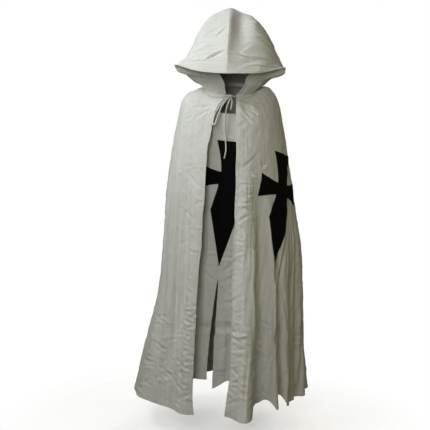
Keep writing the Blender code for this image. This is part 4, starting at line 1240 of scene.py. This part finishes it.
# ---------------------------------------------------------------- thread
def grid_line(grid, rows, columns):
    """Values at places between the rows and columns of a grid."""
    rows, columns = np.broadcast_arrays(np.asarray(rows, float), np.asarray(columns, float))
    r = np.minimum(rows.astype(int), grid.shape[0] - 2)
    c = np.minimum(columns.astype(int), grid.shape[1] - 2)
    fr, fc = (rows - r)[:, None], (columns - c)[:, None]
    top = grid[r, c] * (1 - fc) + grid[r, c + 1] * fc
    low = grid[r + 1, c] * (1 - fc) + grid[r + 1, c + 1] * fc
    return top * (1 - fr) + low * fr


def stitch_mesh(name, lines):
    """Short threads laid end to end along lines of points with normals, as one mesh."""
    starts, ways, ups = [], [], []
    for points, normals in lines:
        both = resample(np.concatenate([points, normals], axis=1), STITCH_PITCH)
        place, up = both[:, :3], unit(both[:, 3:])
        way = unit(np.gradient(place, axis=0))
        starts.append(place)
        ways.append(way)
        ups.append(unit(up - way * np.sum(up * way, axis=1, keepdims=True)))
    place, way, up = (np.concatenate(parts) for parts in (starts, ways, ups))
    side = np.cross(way, up)
    along = (-0.5, -0.34, -0.34, -0.34, -0.34, 0.34, 0.34, 0.34, 0.34, 0.5)
    lift = (0, 1, 0, -1, 0, 1, 0, -1, 0, 0)
    wide = (0, 0, 1, 0, -1, 0, 1, 0, -1, 0)
    points = (
        place[:, None]
        + way[:, None] * (np.array(along) * STITCH_LENGTH)[None, :, None]
        + up[:, None] * (np.array(lift) * STITCH_RADIUS)[None, :, None]
        + side[:, None] * (np.array(wide) * STITCH_RADIUS)[None, :, None]
    )
    base = 10 * np.arange(len(place))[:, None, None]
    caps, quads = [], []
    for k, after in enumerate((1, 2, 3, 0)):
        caps += [(0, 1 + after, 1 + k), (9, 5 + k, 5 + after)]
        quads.append((1 + k, 1 + after, 5 + after, 5 + k))
    parts = [(base + np.array(caps)).reshape(-1, 3), (base + np.array(quads)).reshape(-1, 4)]
    return new_mesh(name, points.reshape(-1, 3), parts)


# ---------------------------------------------------------------- cords
def tube_mesh(name, path, radius, plies, lay, sides=24):
    """A laid cord along a path: its section has one lobe for each ply, and turns as it goes."""
    path = np.asarray(path)
    along = lengths_along(path)
    way = unit(np.gradient(path, axis=0))
    up = np.empty_like(path)
    up[0] = unit(np.cross(way[0], (0.31, 0.95, 0.05)))
    for i in range(1, len(path)):
        up[i] = unit(up[i - 1] - way[i] * np.dot(up[i - 1], way[i]))
    side = np.cross(way, up)
    angle = np.linspace(0, 2 * np.pi, sides, endpoint=False)[None, :]
    twist = 2 * np.pi * along[:, None] / lay
    lobes = np.abs(np.cos(0.5 * plies * (angle - twist)))
    ends = np.minimum(along, along[-1] - along)[:, None]
    blunt = np.sqrt(np.clip(1 - (1 - np.minimum(ends / (0.8 * radius), 1)) ** 2, 0.02, 1))
    r = radius * (0.82 + 0.20 * lobes) * blunt
    points = path[:, None] + r[..., None] * (
        np.cos(angle)[..., None] * up[:, None] + np.sin(angle)[..., None] * side[:, None]
    )
    first, last = len(path) * sides, len(path) * sides + 1
    start, end = np.arange(sides), np.arange(first - sides, first)
    caps = [(first, after, at) for at, after in zip(start, np.roll(start, -1))]
    caps += [(last, at, after) for at, after in zip(end, np.roll(end, -1))]
    tube = tube_faces(points)
    points = np.concatenate([points.reshape(-1, 3), path[:1], path[-1:]])
    lengthwise = np.append(np.repeat(along, sides), (0.0, along[-1]))
    round_it = np.append(np.tile(angle[0] * radius, len(path)), (0.0, 0.0))
    return new_mesh(name, points, [tube, np.array(caps)], np.stack([lengthwise, round_it], axis=1))


def knot_exit(direction):
    """The two first points of a cord that leaves the knot in a direction."""
    way = unit(np.array(direction))
    surface = 1 / np.linalg.norm(way / KNOT_SIZE)
    start = np.array(KNOT_AT) + way * (surface + 1.5 * SEAM_GAP)
    return [start, start + way * EXIT_LENGTH]


def eased(path):
    """A path with its corners rounded, between the same ends."""
    for _ in range(10):
        path[1:-1] = 0.5 * path[1:-1] + 0.25 * (path[:-2] + path[2:])
    return path


def cord_route(way, points, back):
    """A cord's whole route: straight out of the knot, then smoothly along its points."""
    start, bend = knot_exit(way)
    ends = knot_exit(back) if back else []
    path = eased(curve_points([bend, *points, *ends[:0:-1]], 0.0018))
    first = start + unit(np.array(KNOT_AT) - start) * 0.001
    return np.array([first, start, *path, *ends[:1]])


def knot_mesh(name):
    """The knot: a cord that crosses over and under itself, drawn tight."""
    t = np.linspace(0, 2 * np.pi, 240)
    x = np.sin(t) + 2 * np.sin(2 * t)
    y = np.cos(t) - 2 * np.cos(2 * t)
    z = -np.sin(3 * t)
    path = np.stack([x * 0.0024, z * 0.0026, y * 0.0021], axis=1) + KNOT_AT
    return tube_mesh(name, path, CORD_RADIUS * 0.98, CORD_PLIES, KNOT_LAY)


# ---------------------------------------------------------------- materials
def shader_tree(name):
    made = bpy.data.materials.new(name)
    made.use_nodes = True
    tree = made.node_tree
    return made, tree, tree.nodes["Principled BSDF"]


def fill(tree, node, inputs):
    """Set a node's inputs, each to a value or to what another node gives."""
    for key, value in inputs.items():
        if isinstance(value, bpy.types.NodeSocket):
            tree.links.new(value, node.inputs[key])
        else:
            node.inputs[key].default_value = value


def add_node(tree, kind, inputs=(), **settings):
    node = tree.nodes.new("ShaderNode" + kind)
    for key, value in settings.items():
        setattr(node, key, value)
    fill(tree, node, dict(inputs))
    return node


def math_node(tree, operation, *values):
    return add_node(tree, "Math", enumerate(values), operation=operation).outputs[0]


def stretched(tree, coordinates, scale):
    inputs = {0: coordinates, 1: scale}
    return add_node(tree, "VectorMath", inputs, operation="MULTIPLY").outputs[0]


def noise(tree, coordinates, scale, detail=3.0, roughness=0.55):
    inputs = {"Vector": coordinates, "Scale": scale, "Detail": detail, "Roughness": roughness}
    return add_node(tree, "TexNoise", inputs).outputs["Fac"]


def ramp(tree, value, low, high, to_low=0.0, to_high=1.0):
    inputs = {"Value": value, "From Min": low, "From Max": high, "To Min": to_low, "To Max": to_high}
    return add_node(tree, "MapRange", inputs).outputs["Result"]


def blend(tree, share, first, second, kind="MIX"):
    inputs = {0: share, 6: first, 7: second}
    return add_node(tree, "Mix", inputs, data_type="RGBA", blend_type=kind).outputs[2]


def bump(tree, strength, distance, **inputs):
    inputs = {"Strength": strength, "Distance": distance, **inputs}
    return add_node(tree, "Bump", inputs).outputs[0]


def uv_of(tree):
    return add_node(tree, "UVMap", uv_map="UVMap").outputs["UV"]


def object_place(tree):
    return add_node(tree, "TexCoord").outputs["Object"]


def weave(tree, uv, pitch):
    """A plain weave: threads of both directions that pass over and under each other."""
    inputs = {"Vector": uv, "Scale": math.pi / (20 * pitch), "Distortion": 0.0}
    threads = []
    for direction in ("X", "Y"):
        wave = add_node(tree, "TexWave", inputs, bands_direction=direction).outputs["Fac"]
        threads.append(math_node(tree, "SUBTRACT", wave, 0.5))
    return math_node(tree, "MULTIPLY_ADD", math_node(tree, "MULTIPLY", *threads), 2.0, 0.5)


# light and shade are linear colours, pitch is from one thread to the next.
Cotton = namedtuple("Cotton", "name light shade roughness sheen shine pitch weave_height")
WHITE_COTTON = Cotton(
    "white_cotton", (0.70, 0.70, 0.665), (0.66, 0.655, 0.61), 0.88, 0.12, 0.28, 0.0009, 0.00022
)
BLACK_COTTON = Cotton(
    "black_cotton", (0.0042, 0.0036, 0.0036), (0.003, 0.003, 0.003), 0.86, 0.01, 0.08, 0.0008, 0.0002
)
Looks = namedtuple("Looks", "white black cord pale_thread dark_thread")


def cotton(kind):
    """Woven cotton: its weave, thicker threads here and there, a soft unevenness of colour, and
    painted shade in the weave's hollows and along the crumple's troughs.
    """
    made, tree, shader = shader_tree(kind.name)
    uv, place = uv_of(tree), object_place(tree)
    threads = weave(tree, uv, kind.pitch)
    slubs_across = noise(tree, stretched(tree, uv, (26, 950, 1)), 1.0, 2.0)
    slubs_down = noise(tree, stretched(tree, uv, (950, 26, 1)), 1.0, 2.0)
    slubs = math_node(tree, "ADD", slubs_across, slubs_down)
    streaks = noise(tree, stretched(tree, uv, (120, 2.6, 1)), 1.0, 2.0)
    crumple = math_node(tree, "MULTIPLY_ADD", streaks, 1.1, noise(tree, place, 62.0, 4.0, 0.6))
    tone = ramp(tree, noise(tree, place, 7.0, 4.0), 0.3, 0.7)
    colour = blend(tree, tone, (*kind.light, 1), (*kind.shade, 1))
    thread_tone = ramp(tree, slubs, 0.75, 1.3, 0.92, 1.05)
    # Painted shade: the colour is darker in the weave's hollows between threads and a little lighter
    # on their tops, following the weave's bump height.
    weave_hollow_shade = ramp(tree, threads, 0.0, 1.0, 0.93, 1.03)
    slub_tone_and_painted_shade = math_node(tree, "MULTIPLY", thread_tone, weave_hollow_shade)
    # Painted shade: the colour is darker along the troughs of the crumple's streaks and a little
    # lighter on their ridges, from the same noise as the bump. This factor combines the slubs' own
    # tone with that painted shade.
    slub_tone_and_painted_shade = math_node(tree, "MULTIPLY", slub_tone_and_painted_shade, ramp(tree, streaks, 0.35, 0.65, 0.95, 1.03))
    slub_and_shade_grey = add_node(tree, "CombineColor", {0: slub_tone_and_painted_shade, 1: slub_tone_and_painted_shade, 2: slub_tone_and_painted_shade}).outputs[0]
    height = math_node(tree, "MULTIPLY_ADD", slubs, 0.5, threads)
    fine = bump(tree, 0.7, kind.weave_height, Height=height)
    looks = {
        "Base Color": blend(tree, 1.0, colour, slub_and_shade_grey, "MULTIPLY"),
        "Normal": bump(tree, 0.9, 0.0026, Height=crumple, Normal=fine),
        "Roughness": ramp(tree, slubs, 0.7, 1.3, kind.roughness - 0.04, kind.roughness + 0.04),
        "Sheen Weight": kind.sheen,
        "Sheen Roughness": 0.55,
        "Specular IOR Level": kind.shine,
    }
    fill(tree, shader, looks)
    return made


def cord_material():
    """Twisted cotton: fine fibres along the plies."""
    made, tree, shader = shader_tree("cotton_cord")
    fibres = noise(tree, stretched(tree, uv_of(tree), (420, 1500, 1)), 1.0, 3.0)
    tone = ramp(tree, fibres, 0.35, 0.7)
    looks = {
        "Base Color": blend(tree, tone, (0.58, 0.57, 0.52, 1), (0.78, 0.77, 0.72, 1)),
        "Normal": bump(tree, 0.7, 0.00025, Height=fibres),
        "Roughness": 0.82,
        "Sheen Weight": 0.2,
        "Specular IOR Level": 0.3,
    }
    fill(tree, shader, looks)
    return made


def thread_material(name, colour):
    made, tree, shader = shader_tree(name)
    tone = ramp(tree, noise(tree, object_place(tree), 900.0, 2.0), 0.35, 0.65)
    darker = tuple(0.8 * part for part in colour)
    fill(tree, shader, {"Base Color": blend(tree, tone, (*darker, 1), (*colour, 1)), "Roughness": 0.6})
    return made


def floor_material():
    """Pale paper that shines a little, as if lit from below, and fades out round the object."""
    made, tree, shader = shader_tree("pale_floor")
    place = object_place(tree)
    far = add_node(tree, "VectorMath", {0: place}, operation="LENGTH").outputs["Value"]
    tone = ramp(tree, noise(tree, place, 40.0), 0.3, 0.7)
    looks = {
        "Base Color": blend(tree, tone, (0.86, 0.86, 0.85, 1), (0.90, 0.90, 0.89, 1)),
        "Alpha": ramp(tree, far, 0.15, 0.95, 1.0, 0.0),
        "Emission Color": (1, 1, 1, 1),
        "Emission Strength": 0.5,
        "Roughness": 0.9,
    }
    fill(tree, shader, looks)
    return made


# ---------------------------------------------------------------- scene
def place_object(name, data, at=(0, 0, 0)):
    made = bpy.data.objects.new(name, data)
    made.location = at
    bpy.context.scene.collection.objects.link(made)
    return made


def make_camera():
    data = bpy.data.cameras.new("camera")
    data.lens = CAMERA_LENS
    data.sensor_width = 36
    data.clip_end = 40
    made = place_object("camera", data, CAMERA_AT)
    pitch, yaw, roll = map(math.radians, CAMERA_TURN)
    turn = Matrix.Rotation(yaw, 3, "Z") @ Matrix.Rotation(pitch, 3, "X")
    made.rotation_euler = (turn @ Matrix.Rotation(roll, 3, "Z")).to_euler()
    bpy.context.scene.camera = made


Light = namedtuple("Light", "name place target size spread watts colour")
LIGHTS = (
    Light("key", (-1.45, -0.75, 1.15), (-0.05, -0.10, 0.20), 0.9, 90, 8.5, (0.90, 0.955, 1.0)),
    Light("front", (-0.56, -2.95, 0.24), (0.0, 0.0, -0.30), 1.3, 180, 28.4, (0.995, 0.98, 0.965)),
    Light("side", (2.20, -1.40, 0.20), (0.0, 0.0, -0.50), 1.4, 180, 3.0, (1.0, 0.90, 0.20)),
    Light("back", (0.70, 2.80, 0.90), (0.0, 0.0, -0.40), 1.8, 180, 27, (1.0, 0.985, 0.97)),
)


def make_lights():
    for light in LIGHTS:
        data = bpy.data.lights.new(light.name, "AREA")
        data.shape = "DISK"
        data.size = light.size
        data.spread = math.radians(light.spread)
        data.energy = light.watts
        data.color = light.colour
        made = place_object(light.name, data, light.place)
        ahead = Vector(light.target) - Vector(light.place)
        made.rotation_euler = ahead.to_track_quat("-Z", "Y").to_euler()


def make_world():
    """White to look at. It lights the cloth more dimly, and least from below."""
    world = bpy.data.worlds.new("studio")
    world.use_nodes = True
    tree = world.node_tree
    tree.nodes.clear()
    seen = add_node(tree, "LightPath").outputs["Is Camera Ray"]
    way = add_node(tree, "TexCoord").outputs["Generated"]
    height = add_node(tree, "SeparateXYZ", {0: way}).outputs["Z"]
    strength = ramp(tree, height, -0.5, 0.6, *WORLD_LIGHT)
    shining = add_node(tree, "Background", {"Color": (*WORLD_COLOUR, 1), "Strength": strength})
    white = add_node(tree, "Background", {"Color": (1, 1, 1, 1), "Strength": 1.0})
    mixed = add_node(tree, "MixShader", {0: seen, 1: shining.outputs[0], 2: white.outputs[0]})
    add_node(tree, "OutputWorld", {"Surface": mixed.outputs[0]})
    bpy.context.scene.world = world
    bpy.context.scene.view_settings.view_transform = "Standard"


def make_floor(look):
    build = bmesh.new()
    bmesh.ops.create_circle(build, cap_ends=True, radius=1.0, segments=96)
    mesh = bpy.data.meshes.new("floor")
    build.to_mesh(mesh)
    build.free()
    mesh.materials.append(look)
    made = place_object("floor", mesh, (0, 0, FLOOR_Z))
    made.visible_diffuse = False


def add_piece(name, data, look, slot, *nodes):
    piece = place_object(name, data)
    data.materials.append(look)
    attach(piece, "root")
    if nodes:
        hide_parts(*nodes)
    return piece


def make_cords(look):
    for side, node in ((RIGHT, "tie_lead_right"), (LEFT, "tie_lead_left")):
        casing_end = neck_points(np.array(throat_turn(side)))
        inside = neck_points(np.array(throat_turn(side) + side * 4))
        end = np.array(KNOT_AT) + (side * 0.004, 0, 0)
        near = end + (side * 0.006, -0.0005, 0.0005)
        path = curve_points([inside, casing_end, near, end], 0.0015)
        mesh = tube_mesh(node, path, CORD_RADIUS, CORD_PLIES, CORD_LAY)
        add_piece(node + "_cord", mesh, look, "cord", node)
    add_piece("tie_knot_cord", knot_mesh("tie_knot"), look, "cord", "tie_knot")
    for node, way, points, back, far in (
        ("tie_long_end", LONG_EXIT, LONG_END, None, "bare"),
        ("tie_short_end", SHORT_EXIT, SHORT_END, None, "bare"),
        ("tie_loop", LOOP_EXIT, LOOP, LOOP_RETURN, "object"),
    ):
        path = cord_route(way, points, back)
        mesh = tube_mesh(node, path, CORD_RADIUS, CORD_PLIES, CORD_LAY)
        piece = add_piece(node + "_cord", mesh, look, "cord", node)
        float(lengths_along(path)[-1])


def stitched_place(hem):
    """Where a hem's stitched line lies between the marks of its grid."""
    marks = hem_marks(hem)
    return np.interp(hem - STITCH_INSET, marks, range(len(marks)))


def add_panel(node, mesh, points, normals, lines, looks, cut, joined):
    """A hanging panel with stitches along lines of its grid, each given as rows and columns."""
    panel = add_piece(node + "_cloth", mesh, looks.white, "cloth", node)
    paths = [(grid_line(points, *line), grid_line(normals, *line)) for line in lines]
    thread = add_piece(node + "_stitches", stitch_mesh(node, paths), looks.pale_thread, "cloth")
    flat, area = cut
    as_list(joined)
    return panel


def add_cross(node, points, faces, at, looks):
    mesh, line = cross_cloth(node, points, faces, at)
    patch = add_piece(node + "_cloth", mesh, looks.black, "black", node)
    thread = add_piece(node + "_stitches", stitch_mesh(node, [line]), looks.dark_thread, "black")


def make_cloak(side, looks):
    node = "cloak_" + SIDE_NAMES[side]
    mesh, points, normals, faces = cloak_cloth(side, np.random.default_rng(CLOAK_SEED + side))
    column = stitched_place(FRONT_HEM)
    row = points.shape[0] - 1 - stitched_place(CLOAK_HEM)
    lines = ((np.arange(4, row), column), (row, np.arange(column, points.shape[1] - 1)))
    cloth = mesh, points, normals
    panel = add_panel(node, *cloth, lines, looks, CLOAK_CUT[side], ["neck_casing"])
    if side == LEFT:
        add_cross("cloak_cross", points, faces, CLOAK_CROSS_AT, looks)


def make_hood(side, looks):
    node = "hood_" + SIDE_NAMES[side]
    mesh, points, normals = hood_cloth(side, np.random.default_rng(HOOD_SEED + side))
    line = stitched_place(HOOD_HEM), np.arange(3, points.shape[1] - 2)
    add_panel(node, mesh, points, normals, [line], looks, HOOD_CUT[side], ["neck_casing"])


def make_casing(looks):
    node = "neck_casing"
    mesh = casing_cloth(np.random.default_rng(CASING_SEED))
    casing = add_piece(node + "_cloth", mesh, looks.white, "cloth", node)


def make_surcoat(front, looks):
    node, other = "surcoat_front", "surcoat_back"
    if not front:
        node, other = other, node
    mesh, points, normals, faces = surcoat_cloth(front, np.random.default_rng(SURCOAT_SEED + front))
    row = points.shape[0] - 1 - stitched_place(SURCOAT_HEM)
    line = row, np.arange(3, points.shape[1] - 3)
    panel = add_panel(node, mesh, points, normals, [line], looks, SURCOAT_CUT, [other])
    if front:
        add_cross("surcoat_cross", points, faces, SURCOAT_CROSS_AT, looks)


def main():
    make_camera()
    looks = Looks(
        cotton(WHITE_COTTON),
        cotton(BLACK_COTTON),
        cord_material(),
        thread_material("pale_thread", (0.72, 0.71, 0.66)),
        thread_material("dark_thread", (0.016, 0.015, 0.014)),
    )
    make_cords(looks.cord)
    for side in (RIGHT, LEFT):
        make_cloak(side, looks)
    for side in (RIGHT, LEFT):
        make_hood(side, looks)
    make_casing(looks)
    for front in (True, False):
        make_surcoat(front, looks)
    make_floor(floor_material())
    make_lights()
    make_world()


main()
